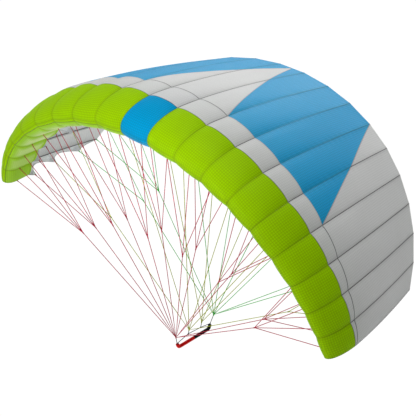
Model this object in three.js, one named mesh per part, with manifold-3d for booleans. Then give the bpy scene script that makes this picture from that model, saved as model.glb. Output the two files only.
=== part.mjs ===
// Parawing: an inflated canopy of nineteen cloth cells with its ribs, its lines and the short bar that is
// held in one hand. Millimetres. +X runs along the span, +Y from the nose to the trailing edge, +Z up.
// The origin is the middle of the bar's grip.
import * as THREE from "three";
import { mergeVertices } from "three/addons/utils/BufferGeometryUtils.js";
import Module from "manifold-3d";

// Canopy plan: the cloth laid flat, and how the cells share the span.
const CENTRE_CHORD = 1505;
const HALF_SPAN = 1878;
const CELLS_A_SIDE = 9;
const CELL_TAPER = 0.411;
const CHORD_LOSS = { square: 0.273, fourth: 0.158 };
const NOSE_SWEEP = { square: 17, fourth: 68 };

// Canopy in the air: the arc across the span, and where the nose of the middle cell stands from the grip.
const TIP_LEAN = THREE.MathUtils.degToRad(75.2);
const LEAN_BIAS = 0.228;
const PITCH = THREE.MathUtils.degToRad(4.95);
const TIP_WASHOUT = THREE.MathUtils.degToRad(2.16);
const NOSE = new THREE.Vector3(0, -467, 1819.6);

// Wing section, in shares of the chord: a round nose, a crown, a falling rear and a chin under the nose.
// Towards the tips the nose reaches further forward and the lower skin is shorter.
const NOSE_START = { middle: 0.0257, tipLoss: 0.0297 };
const CROWN = { at: 0.2224, height: 0.0888, fall: 1.65 };
const CHIN = { at: 0.0876, depth: 0.0554, rise: 0.04 };
const NOSE_SEAM = { angle: 22, gapAngle: 0.7 };
const LOWER_SKIN_END = { middle: 0.24, tipLoss: 0.03 };

// How far a cell swells between its ribs, in shares of its width.
const SWELL = { nose: 0.033, crown: 0.096, chin: 0.029, lowerSkinEnd: 0.12 };

// Cloth, seams and ribs.
const CLOTH = 1.6;
const SEAM_GAP = 0.4;
const RIB_DROP = CLOTH + 0.35;
const SPAN_STEPS = 4;
const TAB_DEPTH = { B: 0.055, C: 0.046, D: 0.046, T: 0.012 };
const TIP_TAB_DEEPER = 0.03;
const TAB_WIDTH = 0.012;
const TAIL_TAPE = 0.018;
const TAPE_FROM = 0.46;
const TAIL_END = 0.992;
const LOADED_RIBS = [2, 5, 8, 10];

// Lines and cords.
const MAIN_RADIUS = 1.2;
const UPPER_RADIUS = 1.05;
const KNOT = { radius: 3, length: 15 };
const COLLECTOR = { radius: 4.5, length: 20 };
const LINE_SIDES = 4;
const LINE_END_GAP = 0.6;
const CORD_RADIUS = 1.6;
const CORD_BESIDE = 2.4;
const CORD_TURN = 10;
const CORD_SIDES = 6;

// Bar: a straight grip that leans with the canopy, and two ends that turn up.
const GRIP_LENGTH = 300;
const GRIP_LEAN = THREE.MathUtils.degToRad(3.5);
const BAR_RADIUS = 12;
const BAR_BEND = 17;
const BAR_END = { rise: 31, reach: 13 };
const BAR_SIDES = 10;
const BAR_STEPS = 18;

// Where each set of lines is gathered above the bar.
const GATHER = {
  front: new THREE.Vector3(0, -170, 104),
  midFront: new THREE.Vector3(0, -43, 95),
  midRear: new THREE.Vector3(0, 82, 90),
  rear: new THREE.Vector3(0, 204, 84),
};
// Where the two legs of the middle sets leave the grey bridle.
const BRIDLE_KNOTS = [
  new THREE.Vector3(0, -51, 66),
  new THREE.Vector3(0, 71, 50),
];

const COLOURS = {
  grey: 0xcccccc,
  blue: 0x3f97c4,
  green: 0x9cc800,
  rib: 0xb9bcbb,
  red_line: 0xa02038,
  olive_line: 0x9a9a4c,
  green_line: 0x3ca050,
  cord: 0x70707c,
  red_grip: 0xaa0505,
  black_grip: 0x0a0a0a,
};

const wasm = await Module();
wasm.setup();

function material(colour, roughness) {
  return new THREE.MeshStandardMaterial({ color: colour, roughness, metalness: 0 });
}

function addMesh(group, name, geometry, colour, roughness) {
  const mesh = new THREE.Mesh(geometry, material(colour, roughness));
  mesh.name = name;
  group.add(mesh);
  return mesh;
}

// Span: rib 1 is beside the middle cell and rib 10 is the tip, and a rib's sign gives its side.

function ribShare(rib) {
  let sum = 0;
  let reached = 0;
  for (let cell = 0; cell <= CELLS_A_SIDE; cell += 1) {
    const width = cell === 0 ? 0.5 : 1 - CELL_TAPER * (cell / (CELLS_A_SIDE + 0.5)) ** 2;
    sum += width;
    if (cell < rib) reached += width;
  }
  return reached / sum;
}

function lean(share) {
  return TIP_LEAN * ((1 - LEAN_BIAS) * share + LEAN_BIAS * share ** 3);
}

// The arc's point at a share of the half span, summed in short steps.
function arcPoint(share) {
  const steps = 200;
  const step = share / steps;
  let x = 0;
  let z = 0;
  for (let i = 0; i < steps; i += 1) {
    const angle = lean((i + 0.5) * step);
    x += Math.cos(angle) * step * HALF_SPAN;
    z -= Math.sin(angle) * step * HALF_SPAN;
  }
  return { x, z };
}

// A rib's own frame: its nose, its chord, and the directions aft, up and across.
function ribFrame(rib) {
  const side = Math.sign(rib);
  const share = ribShare(Math.abs(rib));
  const { x, z } = arcPoint(share);
  const angle = lean(share);
  const pitch = PITCH - TIP_WASHOUT * share ** 2;
  const outward = new THREE.Vector3(side * Math.sin(angle), 0, Math.cos(angle));
  const aft = new THREE.Vector3(0, Math.cos(pitch), 0).addScaledVector(outward, -Math.sin(pitch));
  const up = new THREE.Vector3(0, Math.sin(pitch), 0).addScaledVector(outward, Math.cos(pitch));
  const sweep = NOSE_SWEEP.square * share ** 2 + NOSE_SWEEP.fourth * share ** 4;
  const chord = CENTRE_CHORD * (1 - CHORD_LOSS.square * share ** 2 - CHORD_LOSS.fourth * share ** 4);
  const nose = new THREE.Vector3(side * x, sweep, z).add(NOSE);
  return { share, nose, aft, up, across: aft.clone().cross(up), chord };
}

const RIBS = new Map();
for (let rib = 1; rib <= CELLS_A_SIDE + 1; rib += 1) {
  RIBS.set(rib, ribFrame(rib));
  RIBS.set(-rib, ribFrame(-rib));
}

// A point of a rib's plane from shares of its chord aft of the nose and above the chord line.
function onRib(rib, t, h) {
  const frame = RIBS.get(rib);
  return frame.nose
    .clone()
    .addScaledVector(frame.aft, t * frame.chord)
    .addScaledVector(frame.up, h * frame.chord);
}

// Section curves at a share of the half span. Each point has its place (t, h), its outward normal (nt, nh)
// and the swell of the cloth there.

function sectionPoint(t, h, aft, up, swell) {
  const size = Math.hypot(aft, up);
  return { t, h, nt: aft / size, nh: up / size, swell };
}

// A quarter ellipse from the nose, up to the crown or down to the chin.
function ellipsePoint(share, at, height, degrees, swell) {
  const angle = THREE.MathUtils.degToRad(degrees);
  const start = NOSE_START.middle - NOSE_START.tipLoss * share ** 2;
  const reach = at - start;
  const t = start + reach * (1 - Math.cos(angle));
  const h = height * Math.sin(angle);
  return sectionPoint(t, h, -Math.cos(angle) / reach, Math.sin(angle) / height, swell(Math.sin(angle)));
}

function crownPoint(share, degrees) {
  const swell = (rise) => THREE.MathUtils.lerp(SWELL.nose, SWELL.crown, rise ** 4);
  return ellipsePoint(share, CROWN.at, CROWN.height, degrees, swell);
}

function chinPoint(share, degrees) {
  const swell = (fall) => THREE.MathUtils.lerp(SWELL.nose, SWELL.chin, fall ** 2);
  return ellipsePoint(share, CHIN.at, -CHIN.depth, degrees, swell);
}

function topHeight(t) {
  return CROWN.height * (1 - ((t - CROWN.at) / (1 - CROWN.at)) ** CROWN.fall);
}

// The swell is gone at the trailing edge.
function rearPoint(t) {
  const run = (t - CROWN.at) / (1 - CROWN.at);
  const slope = (-CROWN.height * CROWN.fall * run ** (CROWN.fall - 1)) / (1 - CROWN.at);
  return sectionPoint(t, topHeight(t), -slope, 1, SWELL.crown * (1 - run) ** 1.5);
}

function underHeight(t) {
  return -CHIN.depth + CHIN.rise * (t - CHIN.at);
}

// A point behind the chin, at a share of the way to the lower skin's rear edge.
function underPoint(share, run) {
  const end = LOWER_SKIN_END.middle - LOWER_SKIN_END.tipLoss * share ** 2;
  const t = THREE.MathUtils.lerp(CHIN.at, end, run);
  const swell = THREE.MathUtils.lerp(SWELL.chin, SWELL.lowerSkinEnd, run);
  return sectionPoint(t, underHeight(t), CHIN.rise, -1, swell);
}

function topSection(share) {
  return [
    ...[NOSE_SEAM.angle, 10].map((degrees) => chinPoint(share, degrees)),
    ...[0, 18, 36, 54, 72].map((degrees) => crownPoint(share, degrees)),
    ...[CROWN.at, 0.32, 0.42, 0.54, 0.68, 0.84, 1].map(rearPoint),
  ];
}

function underSection(share) {
  return [
    ...[NOSE_SEAM.angle + NOSE_SEAM.gapAngle, 44, 66].map((degrees) => chinPoint(share, degrees)),
    ...[0, 0.5, 1].map((run) => underPoint(share, run)),
  ];
}

// A point of a cell's outer face, at a share across it from its first rib to its second.
function onCell(ribs, points, across) {
  const [a, b] = ribs.map((rib, i) => onRib(rib, points[i].t, points[i].h));
  const width = a.distanceTo(b);
  const outward = new THREE.Vector3();
  ribs.forEach((rib, i) => {
    const frame = RIBS.get(rib);
    outward.addScaledVector(frame.aft, points[i].nt).addScaledVector(frame.up, points[i].nh);
  });
  const edge = SEAM_GAP / 2 / width;
  const place = THREE.MathUtils.lerp(edge, 1 - edge, across);
  const bulge = points[0].swell * width * 4 * across * (1 - across);
  return a.lerp(b, place).addScaledVector(outward.normalize(), bulge);
}

// A closed sheet of cloth from a grid of points on its outer face. Rows run aft and columns along +X.
function clothGeometry(grid, faceUp) {
  const rows = grid.length;
  const columns = grid[0].length;
  const outer = [];
  const inner = [];
  const turn = faceUp ? 1 : -1;
  for (let i = 0; i < rows; i += 1) {
    for (let j = 0; j < columns; j += 1) {
      const aft = grid[Math.min(i + 1, rows - 1)][j].clone().sub(grid[Math.max(i - 1, 0)][j]);
      const along = grid[i][Math.min(j + 1, columns - 1)].clone().sub(grid[i][Math.max(j - 1, 0)]);
      const normal = along.cross(aft).normalize().multiplyScalar(turn);
      outer.push(grid[i][j]);
      inner.push(grid[i][j].clone().addScaledVector(normal, -CLOTH));
    }
  }
  const count = rows * columns;
  const triangles = [];
  // Two triangles for a face of four corners. On the left side the cut between them is mirrored.
  const quad = (a, b, c, d, turned) => {
    const left = outer[a % count].x + outer[c % count].x < 0;
    const halves = left ? [[a, b, d], [b, c, d]] : [[a, b, c], [a, c, d]];
    halves.forEach(([p, q, r]) => triangles.push(...(turned ? [p, r, q] : [p, q, r])));
  };
  const at = (i, j) => i * columns + j;
  for (let i = 0; i < rows - 1; i += 1) {
    for (let j = 0; j < columns - 1; j += 1) {
      const corners = [at(i, j), at(i, j + 1), at(i + 1, j + 1), at(i + 1, j)];
      quad(...corners, !faceUp);
      quad(...corners.map((corner) => corner + count), faceUp);
    }
  }
  const rim = (a, b) => quad(b, a, a + count, b + count, !faceUp);
  for (let j = 0; j < columns - 1; j += 1) {
    rim(at(0, j), at(0, j + 1));
    rim(at(rows - 1, j + 1), at(rows - 1, j));
  }
  for (let i = 0; i < rows - 1; i += 1) {
    rim(at(i + 1, 0), at(i, 0));
    rim(at(i, columns - 1), at(i + 1, columns - 1));
  }
  const geometry = new THREE.BufferGeometry().setFromPoints([...outer, ...inner]);
  geometry.setIndex(triangles);
  geometry.computeVertexNormals();
  return geometry;
}

function cellGrid(ribs, section) {
  const sections = ribs.map((rib) => section(RIBS.get(rib).share));
  return sections[0].map((_, i) => {
    const row = [];
    for (let cell = 0; cell < ribs.length - 1; cell += 1) {
      const pair = ribs.slice(cell, cell + 2);
      const points = [sections[cell][i], sections[cell + 1][i]];
      for (let step = cell === 0 ? 0 : 1; step <= SPAN_STEPS; step += 1) {
        row.push(onCell(pair, points, step / SPAN_STEPS));
      }
    }
    return row;
  });
}

function sideName(cell) {
  if (cell === 0) return "centre";
  return (cell < 0 ? "left_" : "right_") + Math.abs(cell);
}

// The two ribs of a cell in order along +X. Cell 0 is the middle one.
function cellRibs(cell) {
  if (cell === 0) return [-1, 1];
  return cell > 0 ? [cell, cell + 1] : [cell - 1, cell];
}

function topGores() {
  const group = new THREE.Group();
  for (let cell = -CELLS_A_SIDE; cell <= CELLS_A_SIDE; cell += 1) {
    const blue = Math.abs(cell) > 0 && Math.abs(cell) < 5;
    const geometry = clothGeometry(cellGrid(cellRibs(cell), topSection), true);
    addMesh(group, "gore_" + sideName(cell), geometry, blue ? COLOURS.blue : COLOURS.grey, 0.6);
  }
  return group;
}

// Lower skins: strips of one to three panels, named from the middle outwards.
function lowerSkins() {
  const group = new THREE.Group();
  const strips = [
    { name: "centre", ribs: [-1, 1] },
    { name: "1", ribs: [1, 2, 3] },
    { name: "2", ribs: [3, 4, 5] },
    { name: "3", ribs: [5, 6, 7] },
    { name: "4", ribs: [7, 8, 9, 10] },
  ];
  const strip = (name, ribs) => {
    const geometry = clothGeometry(cellGrid(ribs, underSection), false);
    addMesh(group, "lower_skin_" + name, geometry, COLOURS.green, 0.6);
  };
  strips.forEach(({ name, ribs }) => {
    if (name === "centre") {
      strip(name, ribs);
      return;
    }
    strip("right_" + name, ribs);
    strip("left_" + name, ribs.map((rib) => -rib).reverse());
  });
  return group;
}

// Where the lines hold a rib, in shares of its chord: rows A and B are held on every rib.
function tabPlace(row, rib) {
  const share = RIBS.get(rib).share;
  const places = { A: 0.13 - 0.03 * share ** 2, B: 0.3 - 0.03 * share ** 2, C: 0.51, D: 0.766, T: 1 };
  return places[row];
}

// How deep a tab hangs, in shares of its rib's chord: the tabs of row B are deeper towards the tips.
function tabDepth(row, rib) {
  const deeper = row === "B" ? TIP_TAB_DEEPER * RIBS.get(rib).share ** 8 : 0;
  return TAB_DEPTH[row] + deeper;
}

// An arched cut between two tabs, steep behind the first one and easy towards the second.
function archPoints(from, to, rise) {
  const points = [];
  const steps = 7;
  for (let i = 1; i < steps; i += 1) {
    const run = i / steps;
    const skewed = run ** 0.62;
    const straight = THREE.MathUtils.lerp(from.h, to.h, run);
    points.push({
      t: THREE.MathUtils.lerp(from.t, to.t, run),
      h: straight + rise * 4 * skewed * (1 - skewed),
    });
  }
  return points;
}

// A tab's two bottom corners, front one first.
function tabCorners(row, rib) {
  const place = tabPlace(row, rib);
  const h = -tabDepth(row, rib);
  return [
    { t: place - TAB_WIDTH / 2, h },
    { t: place + TAB_WIDTH / 2, h },
  ];
}

// The rear part of a rib's lower edge, from the tab of row B to the tail.
function ribLowerEdge(rib) {
  const tail = { t: TAIL_END, h: -TAB_DEPTH.T };
  const [frontB, rearB] = tabCorners("B", rib);
  if (!LOADED_RIBS.includes(Math.abs(rib))) {
    const edge = [frontB, rearB];
    const steps = 5;
    const deep = topHeight(rearB.t) - TAIL_TAPE - rearB.h;
    for (let i = 1; i <= steps; i += 1) {
      const run = i / steps;
      const t = THREE.MathUtils.lerp(rearB.t, TAPE_FROM, run);
      edge.push({ t, h: topHeight(t) - TAIL_TAPE - deep * (1 - run) ** 3 });
    }
    [0.6, 0.74, 0.88].forEach((t) => edge.push({ t, h: topHeight(t) - TAIL_TAPE }));
    return [...edge, tail];
  }
  const [frontC, rearC] = tabCorners("C", rib);
  const [frontD, rearD] = tabCorners("D", rib);
  return [
    frontB,
    rearB,
    ...archPoints(rearB, frontC, 0.095),
    frontC,
    rearC,
    ...archPoints(rearC, frontD, 0.07),
    frontD,
    rearD,
    ...archPoints(rearD, tail, 0.02),
    tail,
  ];
}

// A rib is one flat piece: it fills the nose between the skins and hangs under the top behind them.
function ribGeometry(rib) {
  const { chord, share } = RIBS.get(rib);
  const inset = (point) => ({
    t: point.t - (point.nt * RIB_DROP) / chord,
    h: point.h - (point.nh * RIB_DROP) / chord,
  });
  const under = underSection(share).slice(1).map(inset);
  const top = topSection(share).slice(0, -1).map(inset);
  const tail = inset(rearPoint(TAIL_END));
  const edge = ribLowerEdge(rib);
  const outline = [...edge, tail, ...top.reverse(), ...under];
  const shape = new THREE.Shape(outline.map((point) => new THREE.Vector2(point.t * chord, point.h * chord)));
  return new THREE.ExtrudeGeometry(shape, { depth: CLOTH, bevelEnabled: false, steps: 1 });
}

function ribs() {
  const group = new THREE.Group();
  [...RIBS.keys()]
    .sort((a, b) => a - b)
    .forEach((rib) => {
      const frame = RIBS.get(rib);
      const mesh = addMesh(group, "rib_" + sideName(rib), ribGeometry(rib), COLOURS.rib, 0.65);
      const corner = frame.nose.clone().addScaledVector(frame.across, -CLOTH / 2);
      mesh.applyMatrix4(new THREE.Matrix4().makeBasis(frame.aft, frame.up, frame.across).setPosition(corner));
    });
  return group;
}

// Lines are straight strands of few sides, fused where they are knotted.

function strand(from, to, radius, sides) {
  const length = from.distanceTo(to);
  const geometry = new THREE.CylinderGeometry(radius, radius, length, sides, 1);
  const along = to.clone().sub(from).normalize();
  const turn = new THREE.Quaternion().setFromUnitVectors(new THREE.Vector3(0, 1, 0), along);
  const middle = from.clone().add(to).multiplyScalar(0.5);
  return geometry.applyQuaternion(turn).translate(middle.x, middle.y, middle.z);
}

// A bead of knotted line round a point, along the line to another point.
function knotBead(centre, towards, size, sides) {
  const half = towards.clone().sub(centre).normalize().multiplyScalar(size.length / 2);
  return strand(centre.clone().sub(half), centre.clone().add(half), size.radius, sides);
}

function solid(geometry) {
  const bare = geometry.clone();
  bare.deleteAttribute("normal");
  bare.deleteAttribute("uv");
  const merged = mergeVertices(bare, 1e-4);
  return new wasm.Manifold(
    new wasm.Mesh({
      numProp: 3,
      vertProperties: new Float32Array(merged.attributes.position.array),
      triVerts: new Uint32Array(merged.index.array),
    }),
  );
}

function fused(geometries) {
  const joined = geometries.map(solid).reduce((whole, piece) => whole.add(piece));
  const mesh = joined.getMesh();
  const geometry = new THREE.BufferGeometry();
  geometry.setAttribute("position", new THREE.BufferAttribute(mesh.vertProperties, 3));
  geometry.setIndex(new THREE.BufferAttribute(mesh.triVerts, 1));
  geometry.computeVertexNormals();
  return geometry;
}

// The point where a line of a row ends under a rib, just clear of the cloth.
function lineEnd(row, rib) {
  const t = row === "T" ? TAIL_END : tabPlace(row, rib);
  const h = row === "A" ? underHeight(t) : -tabDepth(row, rib);
  const frame = RIBS.get(rib);
  return onRib(rib, t, h).addScaledVector(frame.up, -LINE_END_GAP);
}

// One branch of a line set: its upper lines meet in a knot on the way to the set's gathering point.
// The outermost line pulls the knot more or less than the others.
function branch(gather, row, ribNumbers, knotShare, outerPull = 1) {
  const ends = ribNumbers.map((rib) => lineEnd(row, rib));
  if (ends.length === 1) return [strand(gather, ends[0], MAIN_RADIUS, LINE_SIDES)];
  const pulls = ends.map((end, order) => (order === ends.length - 1 ? outerPull : 1));
  const middle = new THREE.Vector3();
  ends.forEach((end, order) => middle.addScaledVector(end, pulls[order] / (ends.length - 1 + outerPull)));
  const knot = gather.clone().lerp(middle, knotShare);
  return [
    strand(gather, knot, MAIN_RADIUS, LINE_SIDES),
    knotBead(knot, gather, KNOT, LINE_SIDES),
    ...ends.map((end) => strand(knot, end, UPPER_RADIUS, LINE_SIDES)),
  ];
}

const LINE_SETS = [
  {
    name: "lines_front",
    place: "front",
    colour: COLOURS.red_line,
    branches: [
      { row: "A", ribs: [1, 2, 3], knotShare: 0.494 },
      { row: "A", ribs: [4, 5, 6], knotShare: 0.543 },
      { row: "A", ribs: [7, 8, 9, 10], knotShare: 0.598, outerPull: 1.5 },
      { row: "B", ribs: [1, 2, 3], knotShare: 0.494 },
      { row: "B", ribs: [4, 5, 6], knotShare: 0.543 },
      { row: "B", ribs: [7, 8, 9, 10], knotShare: 0.6, outerPull: 1.35 },
    ],
  },
  {
    name: "lines_mid_front",
    place: "midFront",
    colour: COLOURS.olive_line,
    branches: [
      { row: "C", ribs: [2], knotShare: 0 },
      { row: "C", ribs: [5], knotShare: 0 },
      { row: "C", ribs: [8, 10], knotShare: 0.612, outerPull: 1.16 },
    ],
  },
  {
    name: "lines_mid_rear",
    place: "midRear",
    colour: COLOURS.olive_line,
    branches: [
      { row: "D", ribs: [2], knotShare: 0 },
      { row: "D", ribs: [5], knotShare: 0 },
    ],
  },
  {
    name: "lines_rear",
    place: "rear",
    colour: COLOURS.green_line,
    branches: [
      { row: "T", ribs: [2], knotShare: 0 },
      { row: "T", ribs: [5], knotShare: 0 },
      { row: "D", ribs: [8, 10], knotShare: 0.6, outerPull: 0.3 },
      { row: "T", ribs: [7, 8, 9, 10], knotShare: 0.593, outerPull: 0.5 },
    ],
  },
];

function lineSets() {
  const group = new THREE.Group();
  LINE_SETS.forEach(({ name, place, colour, branches }) => {
    const gather = GATHER[place];
    const pieces = [knotBead(gather, legStart(place), COLLECTOR, CORD_SIDES)];
    branches.forEach(({ row, ribs: numbers, knotShare, outerPull }) => {
      pieces.push(...branch(gather, row, numbers, knotShare, outerPull));
      pieces.push(...branch(gather, row, numbers.map((rib) => -rib), knotShare, outerPull));
    });
    addMesh(group, name, fused(pieces), colour, 0.7);
  });
  return group;
}

// Bar: each half runs from the middle of the grip to its turned-up end.

// A point of the bar, from its distances along the grip and above it.
function onBar(along, above) {
  const y = along * Math.cos(GRIP_LEAN) + above * Math.sin(GRIP_LEAN);
  const z = -along * Math.sin(GRIP_LEAN) + above * Math.cos(GRIP_LEAN);
  return new THREE.Vector3(0, y, z);
}

function barEnd(side) {
  return onBar(side * (GRIP_LENGTH / 2 + BAR_END.reach), BAR_END.rise);
}

function barHalf(side) {
  const corner = onBar((side * GRIP_LENGTH) / 2, 0);
  const end = barEnd(side);
  const before = onBar(side * (GRIP_LENGTH / 2 - BAR_BEND), 0);
  const after = corner.clone().add(end.clone().sub(corner).setLength(BAR_BEND));
  const path = new THREE.CurvePath();
  path.add(new THREE.LineCurve3(onBar((side * SEAM_GAP) / 2, 0), before));
  path.add(new THREE.QuadraticBezierCurve3(before, corner, after));
  path.add(new THREE.LineCurve3(after, end));
  const ring = new THREE.Shape();
  for (let i = 0; i < BAR_SIDES; i += 1) {
    const angle = (2 * Math.PI * i) / BAR_SIDES;
    const x = BAR_RADIUS * Math.cos(angle);
    const y = BAR_RADIUS * Math.sin(angle);
    if (i === 0) ring.moveTo(x, y);
    else ring.lineTo(x, y);
  }
  ring.closePath();
  return new THREE.ExtrudeGeometry(ring, { steps: BAR_STEPS, extrudePath: path, bevelEnabled: false });
}

function bar() {
  const group = new THREE.Group();
  addMesh(group, "bar_front", barHalf(-1), COLOURS.red_grip, 0.55);
  addMesh(group, "bar_rear", barHalf(1), COLOURS.black_grip, 0.55);
  return group;
}

// Grey cords: the bridle joins both ends of the bar, and a leg runs from it, or from an end, to each set.

// A point over the end face of the bar, where a cord comes out beside the other cord there.
function overBarEnd(side, across, height) {
  const end = barEnd(side);
  const corner = onBar((side * GRIP_LENGTH) / 2, 0);
  const out = end.clone().sub(corner).setLength(height);
  return end.add(out).add(new THREE.Vector3(across, 0, 0));
}

// Where the leg of a line set starts: at an end of the bar, or at a knot of the bridle.
function legStart(place) {
  const starts = {
    front: overBarEnd(-1, -CORD_BESIDE, LINE_END_GAP),
    midFront: BRIDLE_KNOTS[0],
    midRear: BRIDLE_KNOTS[1],
    rear: overBarEnd(1, -CORD_BESIDE, LINE_END_GAP),
  };
  return starts[place];
}

// A leg stops just short of the collecting knot of its set.
function leg(place) {
  const gather = GATHER[place];
  const start = legStart(place);
  const back = start.clone().sub(gather).setLength(COLLECTOR.length / 2 + LINE_END_GAP);
  return strand(start, gather.clone().add(back), CORD_RADIUS, CORD_SIDES);
}

function cords() {
  const group = new THREE.Group();
  const route = [
    overBarEnd(-1, CORD_BESIDE, LINE_END_GAP),
    overBarEnd(-1, CORD_BESIDE, CORD_TURN),
    ...BRIDLE_KNOTS,
    overBarEnd(1, CORD_BESIDE, CORD_TURN),
    overBarEnd(1, CORD_BESIDE, LINE_END_GAP),
  ];
  const pieces = route.slice(1).map((point, i) => strand(route[i], point, CORD_RADIUS, CORD_SIDES));
  ["midFront", "midRear"].forEach((place) => {
    pieces.push(leg(place));
    pieces.push(knotBead(legStart(place), GATHER[place], KNOT, CORD_SIDES));
  });
  addMesh(group, "bridle_cord", fused(pieces), COLOURS.cord, 0.75);
  addMesh(group, "front_leg", leg("front"), COLOURS.cord, 0.75);
  addMesh(group, "rear_leg", leg("rear"), COLOURS.cord, 0.75);
  return group;
}

const parawing = new THREE.Group();
parawing.name = "parawing";
parawing.add(topGores(), lowerSkins(), ribs(), lineSets(), bar(), cords());

export default parawing;
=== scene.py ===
import math
from types import SimpleNamespace

import bpy
import numpy as np
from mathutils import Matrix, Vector


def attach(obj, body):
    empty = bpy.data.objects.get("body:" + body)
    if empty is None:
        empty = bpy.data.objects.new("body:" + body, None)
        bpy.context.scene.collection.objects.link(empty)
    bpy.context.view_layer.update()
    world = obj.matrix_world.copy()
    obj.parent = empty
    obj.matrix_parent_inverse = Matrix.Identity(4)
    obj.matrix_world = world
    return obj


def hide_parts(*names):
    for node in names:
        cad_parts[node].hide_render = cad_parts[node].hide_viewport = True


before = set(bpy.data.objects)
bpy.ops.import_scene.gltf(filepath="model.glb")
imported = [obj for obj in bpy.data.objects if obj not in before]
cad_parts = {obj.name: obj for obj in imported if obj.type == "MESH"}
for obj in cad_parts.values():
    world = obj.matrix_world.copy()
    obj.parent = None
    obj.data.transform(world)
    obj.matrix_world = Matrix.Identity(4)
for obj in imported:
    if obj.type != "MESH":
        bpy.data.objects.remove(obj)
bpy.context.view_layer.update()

# Studio
# A pale floor well below the wing, a white surround and large soft lamps above. The camera looks down on
# the nose from the wing's right, at the photograph's angle.
CAMERA_PLACE = (4.908, -4.812, 5.519)
CAMERA_TURN = (0.9959, 0.0272, 0.7591)
CAMERA_LENS = 109.3
CAMERA_SENSOR = 36.0
FLOOR_LEVEL = -2.6
FLOOR_HALF = 40.0
FLOOR_COLOUR = (0.7, 0.7, 0.7, 1)
FLOOR_GLOW = 0.32
WHITE_SEEN = 0.97
PICTURE = {"exposure": 0.09, "gamma": 0.91}
SURROUND = {"toward": (-0.6, 0.0, 0.8), "least": 0.33, "most": 0.81}
LAMPS = (
    {"name": "front_lamp", "place": (-1.5, -7.0, 3.0), "aim": (0.0, 0.1, 1.5), "size": 4.5, "power": 200},
    {"name": "top_lamp", "place": (-0.3, 0.5, 8.5), "aim": (0.0, 0.1, 1.5), "size": 4.5, "power": 178},
    {"name": "rear_lamp", "place": (-1.0, 7.0, 3.2), "aim": (0.0, 0.3, 1.6), "size": 5.0, "power": 94},
    {"name": "rear_left_lamp", "place": (-4.0, 5.6, 3.6), "aim": (0.0, 0.3, 1.6), "size": 5.0, "power": 86},
    {
        "name": "inner_lamp",
        "place": (1.7, -1.7, 2.0),
        "aim": (-1.15, 0.25, 1.2),
        "size": 0.8,
        "power": 1.8,
        "spread": 35,
    },
)


def add(tree, kind, settings=None, inputs=None):
    """A node of a tree, with its settings and its inputs. An input that is a socket is linked."""
    node = tree.nodes.new(kind)
    for key, value in (settings or {}).items():
        setattr(node, key, value)
    for key, value in (inputs or {}).items():
        if isinstance(value, bpy.types.NodeSocket):
            tree.links.new(value, node.inputs[key])
        else:
            node.inputs[key].default_value = value
    return node


def new_material(name):
    """A material with an empty tree and its output node."""
    material = bpy.data.materials.new(name)
    material.use_nodes = True
    material.node_tree.nodes.clear()
    return material, material.node_tree, material.node_tree.nodes.new("ShaderNodeOutputMaterial")


def new_object(name, mesh):
    piece = bpy.data.objects.new(name, mesh)
    bpy.context.scene.collection.objects.link(piece)
    return piece


def build_floor():
    mesh = bpy.data.meshes.new("floor")
    corners = [(-1, -1), (1, -1), (1, 1), (-1, 1)]
    mesh.from_pydata([(x * FLOOR_HALF, y * FLOOR_HALF, FLOOR_LEVEL) for x, y in corners], [], [(0, 1, 2, 3)])
    material, tree, output = new_material("floor_paint")
    paint = add(
        tree,
        "ShaderNodeBsdfPrincipled",
        inputs={
            "Base Color": FLOOR_COLOUR,
            "Roughness": 0.9,
            "Specular IOR Level": 0.1,
            "Emission Color": (1, 1, 1, 1),
            "Emission Strength": FLOOR_GLOW,
        },
    )
    seen = add(tree, "ShaderNodeEmission", inputs={"Strength": WHITE_SEEN})
    path = add(tree, "ShaderNodeLightPath")
    mix = add(
        tree,
        "ShaderNodeMixShader",
        inputs={0: path.outputs["Is Camera Ray"], 1: paint.outputs[0], 2: seen.outputs[0]},
    )
    side = add(tree, "ShaderNodeNewGeometry")
    clear = add(tree, "ShaderNodeBsdfTransparent")
    one_way = add(
        tree,
        "ShaderNodeMixShader",
        inputs={0: side.outputs["Backfacing"], 1: mix.outputs[0], 2: clear.outputs[0]},
    )
    tree.links.new(one_way.outputs[0], output.inputs["Surface"])
    mesh.materials.append(material)
    new_object("floor", mesh)


def build_surround():
    """Soft light from above and the wing's left, and plain white where the camera sees it."""
    world = bpy.data.worlds.new("surround")
    world.use_nodes = True
    tree = world.node_tree
    tree.nodes.clear()
    way = add(tree, "ShaderNodeTexCoord").outputs["Generated"]
    toward = add(tree, "ShaderNodeVectorMath", {"operation": "DOT_PRODUCT"}, {0: way, 1: SURROUND["toward"]})
    inputs = {"Value": toward.outputs["Value"], "To Min": SURROUND["least"], "To Max": SURROUND["most"]}
    strength = add(tree, "ShaderNodeMapRange", {"interpolation_type": "SMOOTHSTEP"}, inputs).outputs[0]
    light = add(tree, "ShaderNodeBackground", inputs={"Color": (1, 1, 1, 1), "Strength": strength})
    seen = add(tree, "ShaderNodeBackground", inputs={"Color": (1, 1, 1, 1), "Strength": WHITE_SEEN})
    path = add(tree, "ShaderNodeLightPath")
    mix = add(
        tree,
        "ShaderNodeMixShader",
        inputs={0: path.outputs["Is Camera Ray"], 1: light.outputs[0], 2: seen.outputs[0]},
    )
    add(tree, "ShaderNodeOutputWorld", inputs={"Surface": mix.outputs[0]})
    bpy.context.scene.world = world


def build_lamp(name, place, aim, size, power, spread=180):
    lamp = bpy.data.lights.new(name, "AREA")
    lamp.shape = "DISK"
    lamp.size = size
    lamp.energy = power
    lamp.spread = math.radians(spread)
    piece = new_object(name, lamp)
    piece.location = place
    piece.rotation_euler = (Vector(aim) - Vector(place)).to_track_quat("-Z", "Y").to_euler()
    piece.visible_camera = False


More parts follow.
